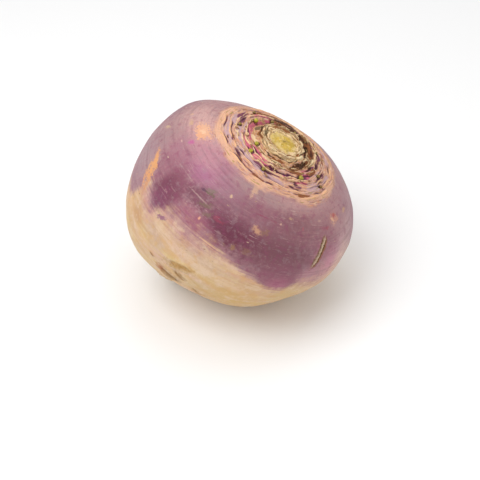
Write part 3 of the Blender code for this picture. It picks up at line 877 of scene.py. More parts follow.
SMALL_MARKS = [  # the same columns
    (189, 36.4, 5.6, 3.4, 14, 1.7, 0.3, (222, 166, 130), 0.95),
    (193.5, 35.2, 3, 2.2, -30, 1.8, 0.3, (222, 164, 126), 0.9),
    (185.8, 37.8, 3, 1.9, 20, 1.8, 0.3, (220, 170, 138), 0.9),
    (190.2, 36.4, 2, 1.2, 30, 2, 0.4, (230, 186, 152), 0.85),
    (198.3, 29.5, 1.5, 1.3, 0, 1.4, 0.7, (186, 82, 142), 0.75),
    (195, 25, 0.9, 0.55, 10, 0.8, 0.4, (222, 186, 170), 0.9),
    (179, 30, 2.6, 1.1, 0, 1.6, 0.5, (200, 162, 126), 0.7),
    (168, 28.5, 1.2, 0.9, 0, 1.2, 0.5, (206, 166, 138), 0.7),
    (176.5, 17, 2.6, 0.9, 40, 1.5, 0.5, (198, 168, 132), 0.7),
    (197, 11.2, 5, 1.2, -28, 1.2, 0.5, (214, 152, 102), 0.9),
    (200.5, 9.8, 4.2, 1.2, -22, 1.4, 0.5, (214, 154, 102), 0.9),
    (201, 7.8, 6, 1.5, -54, 2.2, 0.4, (216, 156, 104), 0.92),
    (203, 6.2, 6.2, 1.7, -57, 2.4, 0.4, (216, 156, 102), 0.9),
    (204.9, 4.2, 5.4, 1.2, -60, 2, 0.35, (214, 152, 100), 0.95),
    (200.6, 4.6, 5, 1, -63, 2, 0.4, (212, 152, 104), 0.9),
    (203, 1.6, 4.6, 0.9, -66, 2, 0.4, (212, 150, 106), 0.9),
    (206.6, 2, 3.6, 0.8, -66, 2, 0.4, (210, 150, 108), 0.85),
    (198.6, 6.4, 2.6, 0.7, -50, 2.2, 0.4, (212, 154, 106), 0.85),
    (206.4, 0.4, 2.6, 1.2, -64, 2.4, 0.5, (206, 150, 104), 0.8),
    (207, -1.5, 3.4, 1, -70, 1.8, 0.6, (196, 140, 106), 0.7),
    (234.5, 24.5, 2.6, 1.1, 35, 1.8, 0.4, (122, 104, 92), 0.8),
    (231.5, 22.8, 1.6, 0.6, 10, 1.4, 0.4, (88, 44, 70), 0.85),
    (245.3, 29.3, 0.7, 0.8, 20, 0.8, 0.4, (208, 170, 136), 0.85),
    (240, 12, 0.5, 0.9, 0, 0.8, 0.4, (216, 154, 128), 0.9),
    (267.6, 22, 2.5, 1.4, -28, 1.3, 0.55, (192, 144, 114), 0.85),
    (272.5, 22.6, 1.9, 1.4, 0, 2, 0.4, (136, 98, 72), 0.55),
    (261, 10.2, 1, 1.4, 10, 1.8, 0.6, (150, 112, 76), 0.65),
    (267.5, 11.2, 2.4, 1.3, 0, 2, 0.6, (136, 98, 76), 0.5),
    (280, 29, 0.45, 0.6, 0, 0.8, 0.5, (206, 164, 144), 0.75),
    (286, 33, 1.5, 0.6, 0, 1.2, 0.4, (188, 152, 120), 0.7),
    (311, 33, 1, 0.45, 0, 1.2, 0.6, (196, 156, 140), 0.5),
    (296, 29, 0.4, 0.9, 0, 0.8, 0.4, (166, 90, 100), 0.7),
    (326.5, 32, 2.6, 2.2, 0, 2.4, 0.5, (190, 126, 106), 0.75),
    (327.6, 33, 1.4, 0.8, 20, 2, 0.4, (168, 70, 66), 0.75),
    (325, 31, 1, 1.6, 0, 2, 0.4, (216, 170, 136), 0.75),
    (317.5, 28.6, 1.2, 0.7, 0, 2, 0.4, (158, 60, 74), 0.7),
    (329.5, 30.5, 1.8, 1.2, 0, 1.6, 0.5, (196, 142, 120), 0.7),
    (314, 29, 1.8, 0.9, 0, 1.4, 0.6, (148, 78, 94), 0.7),
    (343, 31, 2.4, 0.9, 0, 1.4, 0.5, (194, 152, 112), 0.7),
    (269, 29.4, 4.5, 0.35, 0, 1.4, 0.7, (140, 52, 82), 0.7),
    (246, 17.3, 1.8, 0.6, 25, 1.6, 0.5, (142, 48, 74), 0.7),
    (234, 19, 7.5, 0.28, 0, 1, 0.7, (176, 144, 138), 0.65),
    (217, 21.2, 6, 0.3, 3, 1.2, 0.7, (172, 138, 136), 0.6),
    (218.5, 8.8, 1.3, 0.55, -10, 1, 0.5, (176, 130, 134), 0.7),
    (238, 18.2, 3.4, 1.1, 30, 2.2, 0.5, (112, 88, 72), 0.75),
    (242, 15.6, 3, 0.9, 32, 2.2, 0.5, (120, 96, 80), 0.65),
    (236.5, 23.6, 2.6, 0.9, 6, 2, 0.5, (96, 82, 60), 0.7),
    (248, 16.6, 2.6, 0.6, 10, 2.4, 0.6, (150, 48, 74), 0.5),
    (225.2, -1.6, 2.8, 1.3, 35, 1.6, 0.5, (142, 88, 116), 0.9),
    (218, -5.2, 1.8, 0.8, 35, 1.8, 0.6, (160, 112, 124), 0.7),
    (214, -7.6, 1.2, 0.6, 35, 1.8, 0.6, (166, 122, 128), 0.6),
    (240, 3, 2.2, 1.6, 80, 1.8, 0.7, (164, 118, 126), 0.6),
    (250.5, 5.4, 6, 0.3, -1, 0.8, 0.6, (214, 172, 134), 0.8),
    (251, 4.4, 4.6, 0.25, -2, 0.8, 0.6, (206, 158, 118), 0.7),
    (255.5, 41, 1.2, 4.4, 0, 1.6, 0.5, (200, 158, 132), 0.8),
    (40, 20, 1.2, 0.8, 0, 1.2, 0.4, (210, 172, 140), 0.9),
    (84, 22, 4, 2.2, 10, 1.8, 0.4, (204, 160, 122), 0.9),
    (102, 30, 1.6, 0.8, 0, 1.4, 0.4, (208, 168, 130), 0.8),
    (132, 20, 5, 1.2, -40, 1.8, 0.4, (200, 146, 104), 0.85),
    (16, 30, 2.2, 1.4, 0, 1.8, 0.5, (140, 100, 78), 0.7),
    (66, -3, 2.2, 1, 30, 1.8, 0.5, (146, 94, 116), 0.8),
    (96, -14, 2.4, 1, 20, 1.8, 0.5, (150, 100, 118), 0.8),
]


def marked(colour, marks, tear):
    """Lays a list of marks on a colour, torn by this noise. A turn of 0 runs round the root, in degrees."""
    for longitude, latitude, half_length, half_width, turn, torn, softness, shade, strength in marks:
        east = heading(longitude + 90, 0)
        north = heading(longitude, latitude + 90)
        way = east * math.cos(math.radians(turn)) + north * math.sin(math.radians(turn))
        sockets = {"Place": root_place, "Centre": surface_point(longitude, latitude), "Way": way}
        sockets |= {"Half Length": half_length, "Half Width": half_width, "Softness": softness}
        sockets["Tear"] = calc(paint, "MULTIPLY", tear, torn)
        mask = put(paint, "ShaderNodeGroup", sockets, node_tree=mark).outputs["Mask"]
        colour = tint(paint, mask, colour, shade, strength)
    return colour


# Cream below the soil line, pinker next to it, and yellower and tanned in long streaks lower down.
near_line = calc(paint, "MULTIPLY_ADD", calc(paint, "SUBTRACT", blotches, 0.5), 45, above_soil)
cream = layered(paint, (200, 164, 112), [
    (clouds, 0.42, 0.60, (206, 176, 138), 1),
    (near_line, -13, 1, (202, 160, 144), 0.85),
    (streak_mask(1.3, 0.16, 0.48, 0.20), (202, 154, 112), 0.6),
    (streak_mask(2.0, 0.4, 0.50, 0.12), (216, 192, 148), 0.65),
    (streak_mask(1.6, 0.28, 0.50, 0.16), (210, 172, 158), 0.6),
    (streak_mask(2.4, 0.22, 0.51, 0.16), (222, 194, 126), 0.55),
    (streak_mask(3.0, 1.5, 0.64, 0.08), (176, 134, 88), 0.25),
])
rarely = ease(paint, clouds, 0.46, 0.58)
cream = layered(paint, marked(cream, CREAM_MARKS, tear), [
    (blotches, 0.50, 0.66, (206, 160, 96), 0.45),
    (blotches, 0.48, 0.34, (216, 188, 162), 0.5),
    (mottle, 0.52, 0.66, (192, 150, 96), 0.2),
    (mottle, 0.46, 0.34, (220, 194, 166), 0.3),
    (calc(paint, "MULTIPLY", streak_mask(1.6, 0.8, 0.58, 0.06), rarely), (184, 140, 92), 0.35),
    (calc(paint, "MULTIPLY", streak_mask(2.6, 1.8, 0.62, 0.05), rarely), (164, 120, 76), 0.3),
])

# Mauve above it, greyer in clouds and pinker in others, and scratched pale where it was rubbed.
purple = layered(paint, (156, 110, 120), [
    (clouds, 0.40, 0.62, (170, 128, 132), 1),
    (above_soil, 18, 42, (180, 138, 134), 0.7),
])
rubbed = ease(paint, blotches, 0.50, 0.60)
purple = layered(paint, marked(purple, MAUVE_MARKS, tear), [
    (mottle, 0.50, 0.66, (134, 58, 92), 0.42),
    (mottle, 0.48, 0.34, (152, 124, 130), 0.34),
    (streak_mask(2.0, 0.7, 0.50, 0.2), (106, 60, 76), 0.3),
    (calc(paint, "MULTIPLY", streak_mask(4.5, 2.2, 0.58, 0.08), rubbed), (184, 150, 146), 0.35),
    (calc(paint, "MULTIPLY", streak_mask(7.0, 3.6, 0.62, 0.05), rubbed), (200, 172, 162), 0.5),
])
over_line = calc(paint, "DIVIDE", above_soil, stored(paint, "line_softness"))
over_line = calc(paint, "MULTIPLY_ADD", tear, 2.6, over_line)
over_line = calc(paint, "MULTIPLY_ADD", calc(paint, "SUBTRACT", blotches, 0.5), 3, over_line)
over_line = calc(paint, "MULTIPLY_ADD", streak_mask(2.5, 1.1, 0.3, 0.4), 1.4, over_line)
flank = tint(paint, ease(paint, over_line, -0.9, 2.3), cream, purple)
flank = marked(flank, SMALL_MARKS, calc(paint, "MULTIPLY", fine_tear, 2.6))

# The yellow pith, in the straw-coloured stub of the stem.
stub_edge = stored(paint, "stub_radius")
pith = layered(paint, (216, 186, 122), [
    (mottle, 0.42, 0.56, (186, 154, 70), 1),
    (specks, 0.50, 0.62, (172, 152, 44), 0.7),
    (blotches, 0.50, 0.40, (222, 196, 140), 0.6),
])
stub = layered(paint, (170, 132, 84), [
    (streak_mask(4.0, 1.0, 0.42, 0.15), (214, 186, 142), 1),
    (mottle, 0.52, 0.60, (136, 98, 58), 0.7),
    (streak_mask(7.0, 2.4, 0.57, 0.06), (112, 80, 48), 0.6),
    (mottle, 0.46, 0.38, (226, 204, 166), 0.6),
    (calc(paint, "MULTIPLY_ADD", tear, 2.5, stub_edge), 7.8, 6.6, pith, 1),
])

# The crown round it: peach cork, browner towards the stub, with frayed patches of other tones.
TONE_COLOURS = {
    "peach": (216, 168, 140),
    "lilac": (188, 154, 158),
    "rose": (200, 94, 122),
    "wine": (102, 40, 76),
    "dry": (128, 70, 28),
    # Dark bark, nearly black, which also serves as painted shade in the crevice.
    "bark_and_crevice_shade": (50, 24, 6),
    "pale": (226, 196, 154),
    "mould": (104, 86, 60),
    "straw": (208, 174, 80),
}
crown_radius = stored(paint, "crown_radius")
cork_streaks = streak_mask(5.0, 1.6, 0.45, 0.14)
inner_cork = tint(paint, cork_streaks, (172, 126, 88), (208, 170, 126))
crown = layered(paint, (192, 146, 130), [
    (cork_streaks, (212, 170, 146), 1),
    (crown_radius, 19.5, 17.5, inner_cork, 1),
    (streak_mask(6.0, 1.9, 0.55, 0.06), (184, 142, 148), 0.65),
    (streak_mask(9.0, 2.6, 0.52, 0.06), (216, 152, 98), 0.6),
    # Thin dark streaks: painted shade that imitates the shadowed lines between the layers of cork.
    (streak_mask(8.0, 2.2, 0.58, 0.04), (112, 62, 56), 0.6),
    (mottle, 0.52, 0.62, (198, 118, 88), 0.35),
    (mottle, 0.46, 0.37, (236, 206, 180), 0.35),
    (stub_edge, 13.1, 12.6, stub, 1),
])
ragged = streak_mask(6.0, 1.5, 0.3, 0.4)
for tone, shade in TONE_COLOURS.items():
    frayed = calc(paint, "MULTIPLY_ADD", ragged, 0.9, stored(paint, tone))
    crown = tint(paint, ease(paint, frayed, 0.70, 1.10), crown, shade, 0.9)
fresh_pith = calc(paint, "MULTIPLY", ease(paint, specks, 0.46, 0.60), stored(paint, "straw"))
pale_pith = calc(paint, "MULTIPLY", ease(paint, mottle, 0.47, 0.38), stored(paint, "straw"))
# Painted shade: the grooves, slits and crevices are painted dark brown near the stub and dark wine further
# out, with the brown line round the pith among them.
dark_line_and_shade_colour = tint(paint, ease(paint, crown_radius, 17.0, 19.5), (74, 38, 14), (76, 24, 54))
# Painted highlight: the raised lips and rims are painted cream, pale cork with a painted highlight on it.
lip_cork_and_highlight_colour = tint(paint, ease(paint, crown_radius, 22.0, 28.0), (240, 206, 158), (230, 180, 136))
crown = layered(paint, crown, [
    (fresh_pith, (186, 152, 34), 0.8),
    (pale_pith, (226, 204, 146), 0.7),
    (stored(paint, "dark_lines_and_groove_shade"), 0.18, 0.8, dark_line_and_shade_colour, 0.9),
    (stored(paint, "lip_cork_and_highlight"), 0.2, 0.8, lip_cork_and_highlight_colour, 0.8),
])

# The scars, the taproot's cut, and the dark and pale specks that lie over everything.
# The floors of the scars and the split's trench are painted darker, more so where they are deeper.
darkened_floors = calc(paint, "MULTIPLY_ADD", fine_tear, 0.5, stored(paint, "floor_darkening"))
colour = layered(paint, flank, [
    (stored(paint, "crown"), crown, 1),
    (darkened_floors, 0.05, 0.45, (150, 104, 52), 0.8),
    (darkened_floors, 0.40, 0.95, (82, 52, 28), 0.9),
    (stored(paint, "cork"), (196, 174, 140), 1),
    (stored(paint, "cut"), (206, 180, 136), 1),
    (fine, 0.46, 0.30, (110, 74, 70), 0.3),
    (specks, 0.66, 0.74, (214, 184, 160), 0.4),
])
corky = calc(paint, "MULTIPLY_ADD", stored(paint, "crown"), 0.36, 0.32)
roughness = calc(paint, "MULTIPLY_ADD", fine, 0.35, corky)
height = calc(paint, "MULTIPLY_ADD", streak_mask(4.0, 1.6, 0.3, 0.4), 0.4, fine)
WAXY = {"Specular IOR Level": 0.35, "Subsurface Weight": 0.08, "Subsurface Scale": 0.0015}
WAXY["Subsurface Radius"] = (1.0, 0.5, 0.3)
finish_paint(paint, colour, roughness, height, 0.6, 0.00025, WAXY)
skin_mesh.materials.append(skin_paint)

skin = link(bpy.data.objects.new("skin", skin_mesh))
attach(skin, "root")
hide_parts("rutabaga")

# --------------------------------------------------------------------------
# Axil buds. A small pointed bud sits in the axil of a leaf scar, on its broad base; those that get light
# turn yellow green and the others stay brown. Three scales fold round each.
# --------------------------------------------------------------------------
BUD_SIZES = {"Slenderness": 0.80, "Point": 0.62, "Fold": 0.12}
BUD_SCALES = 3
BUD_TWIST = 5
BUD_SUNK = 0.12
BUD_STANCE = (1, 0.5, 0.45)  # shares of the surface's own way, of upwards and of outwards


def geometry_tree(name, inputs):
    """An empty Geometry Nodes tree that takes a mesh and these named values; gives it and its two ends."""
    tree = bpy.data.node_groups.new(name, "GeometryNodeTree")
    tree.interface.new_socket("Geometry", in_out="INPUT", socket_type="NodeSocketGeometry")
    for label, kind in inputs.items():
        tree.interface.new_socket(label, in_out="INPUT", socket_type="NodeSocket" + kind)
    tree.interface.new_socket("Geometry", in_out="OUTPUT", socket_type="NodeSocketGeometry")
    return tree, tree.nodes.new("NodeGroupInput").outputs, tree.nodes.new("NodeGroupOutput").inputs


def field(tree, name, kind="FLOAT"):
    """A value kept on the points that a tree works on."""
    return put(tree, "GeometryNodeInputNamedAttribute", {"Name": name}, data_type=kind).outputs[0]


def own_place(tree):
    """Where each point that a tree works on lies."""
    return put(tree, "GeometryNodeInputPosition").outputs[0]


def keep(tree, geometry, name, value, domain="POINT"):
    """Keeps a number under a name on the geometry; gives the geometry."""
    sockets = {"Geometry": geometry, "Name": name, "Value": value}
    return put(tree, "GeometryNodeStoreNamedAttribute", sockets, domain=domain, data_type="FLOAT").outputs[0]


def shaped_to(tree, shape, up, sides):
    """Moves a shape's points to these three coordinates, and keeps how far up it each of them was."""
    form = put(tree, "ShaderNodeCombineXYZ", dict(enumerate(sides))).outputs[0]
    sockets = {"Geometry": keep(tree, shape, "up", up), "Position": form}
    return put(tree, "GeometryNodeSetPosition", sockets).outputs[0]


def aligned(tree, axis, vector, rotation=None):
    """A rotation that brings an axis to a vector, or turns it that way round the Z of a rotation given."""
    sockets = {"Vector": vector} | ({"Rotation": rotation} if rotation else {})
    pivot = "Z" if rotation else "AUTO"
    return put(tree, "FunctionNodeAlignRotationToVector", sockets, axis=axis, pivot_axis=pivot).outputs[0]


def copied(tree, points, shape, rotation, scale):
    """A copy of a shape on each point."""
    sockets = {"Points": points, "Instance": shape, "Rotation": rotation, "Scale": scale}
    return put(tree, "GeometryNodeInstanceOnPoints", sockets).outputs[0]


def finish_tree(tree, instances, paint, wanted, uneven=0.0, pitch=1.0):
    """Ends a tree: real geometry, made uneven by noise of this pitch, both in metres, smooth and painted."""
    real = put(tree, "GeometryNodeRealizeInstances", {"Geometry": instances}).outputs[0]
    if uneven:
        sockets = {"Vector": own_place(tree), "Scale": 1 / pitch, "Detail": 2.0}
        wobble = put(tree, "ShaderNodeTexNoise", sockets).outputs["Color"]
        wobble = vector_calc(tree, "SUBTRACT", wobble, (0.5, 0.5, 0.5))
        push = vector_calc(tree, "MULTIPLY", wobble, (2 * uneven, 2 * uneven, 2 * uneven))
        real = put(tree, "GeometryNodeSetPosition", {"Geometry": real, "Offset": push}).outputs[0]
    smooth = put(tree, "GeometryNodeSetShadeSmooth", {"Geometry": real}).outputs[0]
    painted = put(tree, "GeometryNodeSetMaterial", {"Geometry": smooth, "Material": paint}).outputs[0]
    tree.links.new(painted, wanted["Geometry"])


def grow(name, seed_mesh, tree, values, paint):
    """Runs a tree on a mesh and gives the finished piece, which has this one material."""
    seed_object = link(bpy.data.objects.new(name + " seeds", seed_mesh))
    modifier = seed_object.modifiers.new("grow", "NODES")
    modifier.node_group = tree
    for item in tree.interface.items_tree:
        if item.in_out == "INPUT" and item.name in values:
            modifier[item.identifier] = values[item.name]
    graph = bpy.context.evaluated_depsgraph_get()
    finished = seed_object.evaluated_get(graph)
    made = bpy.data.meshes.new_from_object(finished, preserve_all_data_layers=True, depsgraph=graph)
    seed_object.modifiers.remove(modifier)
    bpy.data.objects.remove(seed_object)
    made.name = name
    made.materials.clear()
    made.materials.append(paint)
    return link(bpy.data.objects.new(name, made))


skin_normals = np.empty(len(places) * 3)
skin_mesh.vertices.foreach_get("normal", skin_normals)
skin_normals = skin_normals.reshape(-1, 3)
upright_axis = np.array(lean @ Vector((0, 0, 1)))


def stand(longitude, middle, stance):
    """The finished crown at this longitude and radius in mm, the way to stand on it and the way outwards."""
    away_squared = (turn_from(longitude) * middle) ** 2 + (radius - middle) ** 2 + 1e6 * (places[:, 2] < 0)
    nearest = int(np.argmin(away_squared))
    outwards = np.array(lean @ heading(longitude, 0))
    way = stance[0] * skin_normals[nearest] + stance[1] * upright_axis + stance[2] * outwards
    return shaped[nearest], way / np.linalg.norm(way), outwards


def seeds(name, points, **fields):
    """A mesh of loose points, with a number or a vector for each."""
    made = bpy.data.meshes.new(name)
    made.from_pydata([tuple(point) for point in points], [], [])
    for label, values in fields.items():
        keep_on(made, label, values)
    return made


buds, given, wanted = geometry_tree("axil buds", dict.fromkeys(BUD_SIZES, "Float"))
ball = put(buds, "GeometryNodeMeshUVSphere", {"Segments": 18, "Rings": 12, "Radius": 0.5}).outputs[0]
across, along, up = put(buds, "ShaderNodeSeparateXYZ", {0: own_place(buds)}).outputs
lifted = calc(buds, "MAXIMUM", calc(buds, "MULTIPLY", up, 2), 0)
point = calc(buds, "MULTIPLY", given["Point"], calc(buds, "POWER", lifted, 2))
twist = calc(buds, "MULTIPLY", up, BUD_TWIST)
scale_turn = calc(buds, "MULTIPLY_ADD", calc(buds, "ARCTAN2", along, across), BUD_SCALES, twist)
folds = calc(buds, "MULTIPLY_ADD", calc(buds, "COSINE", scale_turn), given["Fold"], 1)
narrow = calc(buds, "MULTIPLY", calc(buds, "SUBTRACT", 1, point), folds)
narrow = calc(buds, "MULTIPLY", narrow, given["Slenderness"])
sides = calc(buds, "MULTIPLY", across, narrow), calc(buds, "MULTIPLY", along, narrow), up
bud_shape = shaped_to(buds, ball, calc(buds, "ADD", up, 0.5), sides)
bud_turn = aligned(buds, "Z", field(buds, "way", "FLOAT_VECTOR"))
bud_copies = copied(buds, given["Geometry"], bud_shape, bud_turn, field(buds, "size", "FLOAT_VECTOR"))

bud_paint, paint = new_paint("axil bud")
bud_up = stored(paint, "up")
mottle = grain_mask(paint, 2.2, 4)
fresh_colour = tint(paint, ease(paint, bud_up, 0.15, 0.75), (120, 112, 30), (182, 178, 56))
stale_colour = tint(paint, ease(paint, bud_up, 0.2, 0.9), (66, 36, 36), (122, 88, 52))
colour = layered(paint, stale_colour, [
    (stored(paint, "green"), fresh_colour, 1),
    (mottle, 0.5, 0.66, (120, 88, 44), 0.5),
    (bud_up, 0.86, 1.0, (92, 66, 36), 0.7),
])
FLESHY = {"Specular IOR Level": 0.4, "Subsurface Weight": 0.1, "Subsurface Scale": 0.001}
roughness = calc(paint, "MULTIPLY_ADD", mottle, 0.3, 0.28)
finish_paint(paint, colour, roughness, mottle, 0.5, 0.0002, FLESHY)
finish_tree(buds, bud_copies, bud_paint, wanted)

bud_points = []
bud_ways = []
for longitude, middle, length, green in BUD_SEATS:
    place, way, outwards = stand(longitude, middle, BUD_STANCE)
    bud_points.append(place + way * length * (0.5 - BUD_SUNK) * MM)
    bud_ways.append(way)
bud_sizes = [(length * MM,) * 3 for longitude, middle, length, green in BUD_SEATS]
greens = [green for longitude, middle, length, green in BUD_SEATS]
bud_seeds = seeds("bud seeds", bud_points, way=bud_ways, size=bud_sizes, green=greens)
axil_buds = grow("axil_buds", bud_seeds, buds, BUD_SIZES, bud_paint)
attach(axil_buds, "root")

# --------------------------------------------------------------------------
# Leaf bases. What is left of the last leaf stalks stands round the pith as short fleshy stumps, curved to
# the ring, torn and pale along the top where the knife went through, and browner towards the foot.
# --------------------------------------------------------------------------
LEAF_BASES = [  # longitude and radius, length round the ring, thickness and height in mm, and how pale
    (350, 17.4, 6, 1.9, 2.6, 0.9), (334, 13.6, 4.5, 1.5, 1.7, 0.8), (320, 11.8, 7, 2.6, 1.9, 1),
    (292, 11.8, 5.5, 1.5, 1.5, 0.9), (300, 15.6, 5, 1.1, 1.2, 0.4), (270, 12.2, 7, 1.4, 1.4, 0.6),
    (262, 15.6, 6.5, 1, 1, 0.7), (240, 12.2, 7, 1.4, 1.3, 0.8), (232, 15.4, 7, 0.9, 0.9, 0.5),
    (212, 11.8, 6, 1.4, 1.2, 0.5), (186, 11.6, 5, 1.4, 1.3, 0.2), (160, 10.8, 5, 1.4, 1.2, 0.1),
    (352, 10.2, 6, 1.4, 1.5, 0.7), (24, 10.4, 6.5, 1.5, 1.4, 0.6), (56, 11.2, 7.5, 1.5, 1.2, 0.3),
    (90, 12, 8, 1.5, 1.2, 0.2), (124, 11.8, 7, 1.5, 1.2, 0.1), (14, 18.8, 6, 1, 1.5, 0.35),
    (50, 19.6, 8.5, 1, 1.4, 0.1), (334, 9.2, 4, 1.2, 1.1, 0.9), (206, 9.4, 5, 1.1, 0.8, 0.3),
]
BASE_SIZES = {"Curl": 0.55, "End Taper": 0.8, "Top Taper": 0.5, "Low Ends": 0.6}
BASE_SUNK = 1.0
BASE_STANCE = (0.5, 1, 0.12)
BASE_TEAR = 0.00055
BASE_PITCH = 0.0014
BASE_LIFT = 0.35

bases, given, wanted = geometry_tree("leaf bases", dict.fromkeys(BASE_SIZES, "Float"))
brick = put(bases, "GeometryNodeMeshCube", {"Vertices X": 15, "Vertices Y": 5, "Vertices Z": 6}).outputs[0]
along, across, up = put(bases, "ShaderNodeSeparateXYZ", {0: own_place(bases)}).outputs
bow = calc(bases, "MULTIPLY", calc(bases, "POWER", along, 2), 4)
end_taper = calc(bases, "SUBTRACT", 1, calc(bases, "MULTIPLY", bow, given["End Taper"]))
top_share = calc(bases, "ADD", up, 0.5)
thinner = calc(bases, "SUBTRACT", 1, calc(bases, "MULTIPLY", top_share, given["Top Taper"]))
thick_here = calc(bases, "MULTIPLY", calc(bases, "MULTIPLY", across, thinner), end_taper)
curled = calc(bases, "SUBTRACT", thick_here, calc(bases, "MULTIPLY", bow, given["Curl"]))
drop = calc(bases, "MULTIPLY", calc(bases, "MULTIPLY", bow, top_share), given["Low Ends"])
base_shape = shaped_to(bases, brick, top_share, (along, curled, calc(bases, "SUBTRACT", up, drop)))
upright_turn = aligned(bases, "Z", field(bases, "way", "FLOAT_VECTOR"))
base_turn = aligned(bases, "Y", field(bases, "out", "FLOAT_VECTOR"), upright_turn)
base_copies = copied(bases, given["Geometry"], base_shape, base_turn, field(bases, "size", "FLOAT_VECTOR"))

base_paint, paint = new_paint("leaf base")
fibres = grain_mask(paint, 1.9, 4, 0.65, (1.0, 1.0, 0.3))
mottle = grain_mask(paint, 0.6, 5, 0.65)
base_up = stored(paint, "up")
torn_top = calc(paint, "MULTIPLY_ADD", calc(paint, "SUBTRACT", mottle, 0.5), 1.6, base_up)
colour = layered(paint, (142, 100, 60), [
    (stored(paint, "tone"), (222, 198, 158), 1),
    (mottle, 0.50, 0.62, (150, 108, 66), 0.75),
    (fibres, 0.52, 0.64, (120, 82, 46), 0.6),
    (base_up, 0.45, 0.05, (96, 62, 34), 0.85),
    (torn_top, 0.88, 1.02, (232, 206, 164), 0.6),
])
DULL = {"Specular IOR Level": 0.3, "Subsurface Weight": 0.08, "Subsurface Scale": 0.001}
finish_paint(paint, colour, calc(paint, "MULTIPLY_ADD", fibres, 0.35, 0.42), fibres, 0.7, 0.0003, DULL)
finish_tree(bases, base_copies, base_paint, wanted, BASE_TEAR, BASE_PITCH)

base_points = []
base_fields = {"way": [], "out": [], "size": [], "tone": []}
for longitude, middle, length, thickness, tall, pale in LEAF_BASES:
    place, way, outwards = stand(longitude, middle, BASE_STANCE)
    base_points.append(place + way * (BASE_LIFT * tall - 0.5 * BASE_SUNK) * MM)
    size = (length * MM, thickness * MM, (tall + BASE_SUNK) * MM)
    for label, value in zip(base_fields, (way, outwards, size, pale)):
        base_fields[label].append(value)
base_seeds = seeds("leaf base seeds", base_points, **base_fields)
leaf_bases = grow("leaf_bases", base_seeds, bases, BASE_SIZES, base_paint)
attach(leaf_bases, "root")

# --------------------------------------------------------------------------
# Corky shreds. The rims of the leaf scars dry out and lift in small torn flakes, which stay fixed by one
# edge and stand up round the crown, each at its own tilt.
# --------------------------------------------------------------------------
SHREDS = {"Density": 170000.0, "Seed": 4, "Tilt": (0.7, 0.45, 0.5)}
SHREDS |= {"Least Size": (0.0010, 0.00022, 0.0005), "Most Size": (0.0030, 0.00045, 0.0012)}
SHRED_TAPER = 0.45
SHRED_CURL = 0.9
SHRED_LIFT = 0.3
SHRED_TEAR = 0.00022
SHRED_PITCH = 0.0008
SCATTER_INPUTS = {"Density": "Float", "Seed": "Int", "Tilt": "Vector", "Least Size": "Vector"}
SCATTER_INPUTS["Most Size"] = "Vector"


def chance(tree, low, high, seed, kind="FLOAT"):
    """A seeded random number, or vector, for each point."""
    first, result = (0, 0) if kind == "FLOAT_VECTOR" else (2, 1)
    sockets = {first: low, first + 1: high, "Seed": seed}
    return put(tree, "FunctionNodeRandomValue", sockets, data_type=kind).outputs[result]


def scatter(tree, given, shape):
    """Copies of a shape where a surface's mask is 1: Z outwards, X round the root, a little tilted."""
    density = calc(tree, "MULTIPLY", field(tree, "mask"), given["Density"])
    sockets = {"Mesh": given["Geometry"], "Density": density, "Seed": given["Seed"]}
    spread = put(tree, "GeometryNodeDistributePointsOnFaces", sockets)
    from_heart = vector_calc(tree, "SUBTRACT", own_place(tree), tuple(HEART))
    around = vector_calc(tree, "CROSS_PRODUCT", tuple(upright_axis), from_heart)
    lined_up = aligned(tree, "X", around, aligned(tree, "Z", spread.outputs["Normal"]))
    either_way = chance(tree, (-1, -1, -1), (1, 1, 1), 11, "FLOAT_VECTOR")
    tilt = vector_calc(tree, "MULTIPLY", either_way, given["Tilt"])
    turn = put(tree, "FunctionNodeEulerToRotation", {0: tilt}).outputs[0]
    sockets = {"Rotation": lined_up, "Rotate By": turn}
    tilted = put(tree, "FunctionNodeRotateRotation", sockets, rotation_space="LOCAL").outputs[0]
    size = chance(tree, given["Least Size"], given["Most Size"], 12, "FLOAT_VECTOR")
    copies = copied(tree, spread.outputs["Points"], shape, tilted, size)
    return keep(tree, copies, "tone", chance(tree, 0.0, 1.0, 13), domain="INSTANCE")


def masked_skin(name, mask):
    """The skin's surface with a mask on it, to scatter pieces on."""
    made = skin_mesh.copy()
    made.name = name
    extras = [each.name for each in made.attributes if not each.is_required and not each.is_internal]
    for attribute in extras:
        made.attributes.remove(made.attributes[attribute])
    keep_on(made, "mask", mask)
    return made


def corky_paint(name, dark, light, fibre, pitch, rough):
    """A material whose tone differs by piece, darker in fibres and towards the foot."""
    made, tree = new_paint(name)
    fibres = grain_mask(tree, pitch, 4, 0.65)
    colour = layered(tree, dark, [
        (stored(tree, "tone"), light, 1),
        (fibres, 0.48, 0.62, fibre, 0.6),
        (stored(tree, "up"), 0.5, 0.0, fibre, 0.5),
    ])
    roughness = calc(tree, "MULTIPLY_ADD", fibres, 0.3, rough)
    finish_paint(tree, colour, roughness, fibres, 0.6, 0.0002, {"Specular IOR Level": 0.3})
    return made


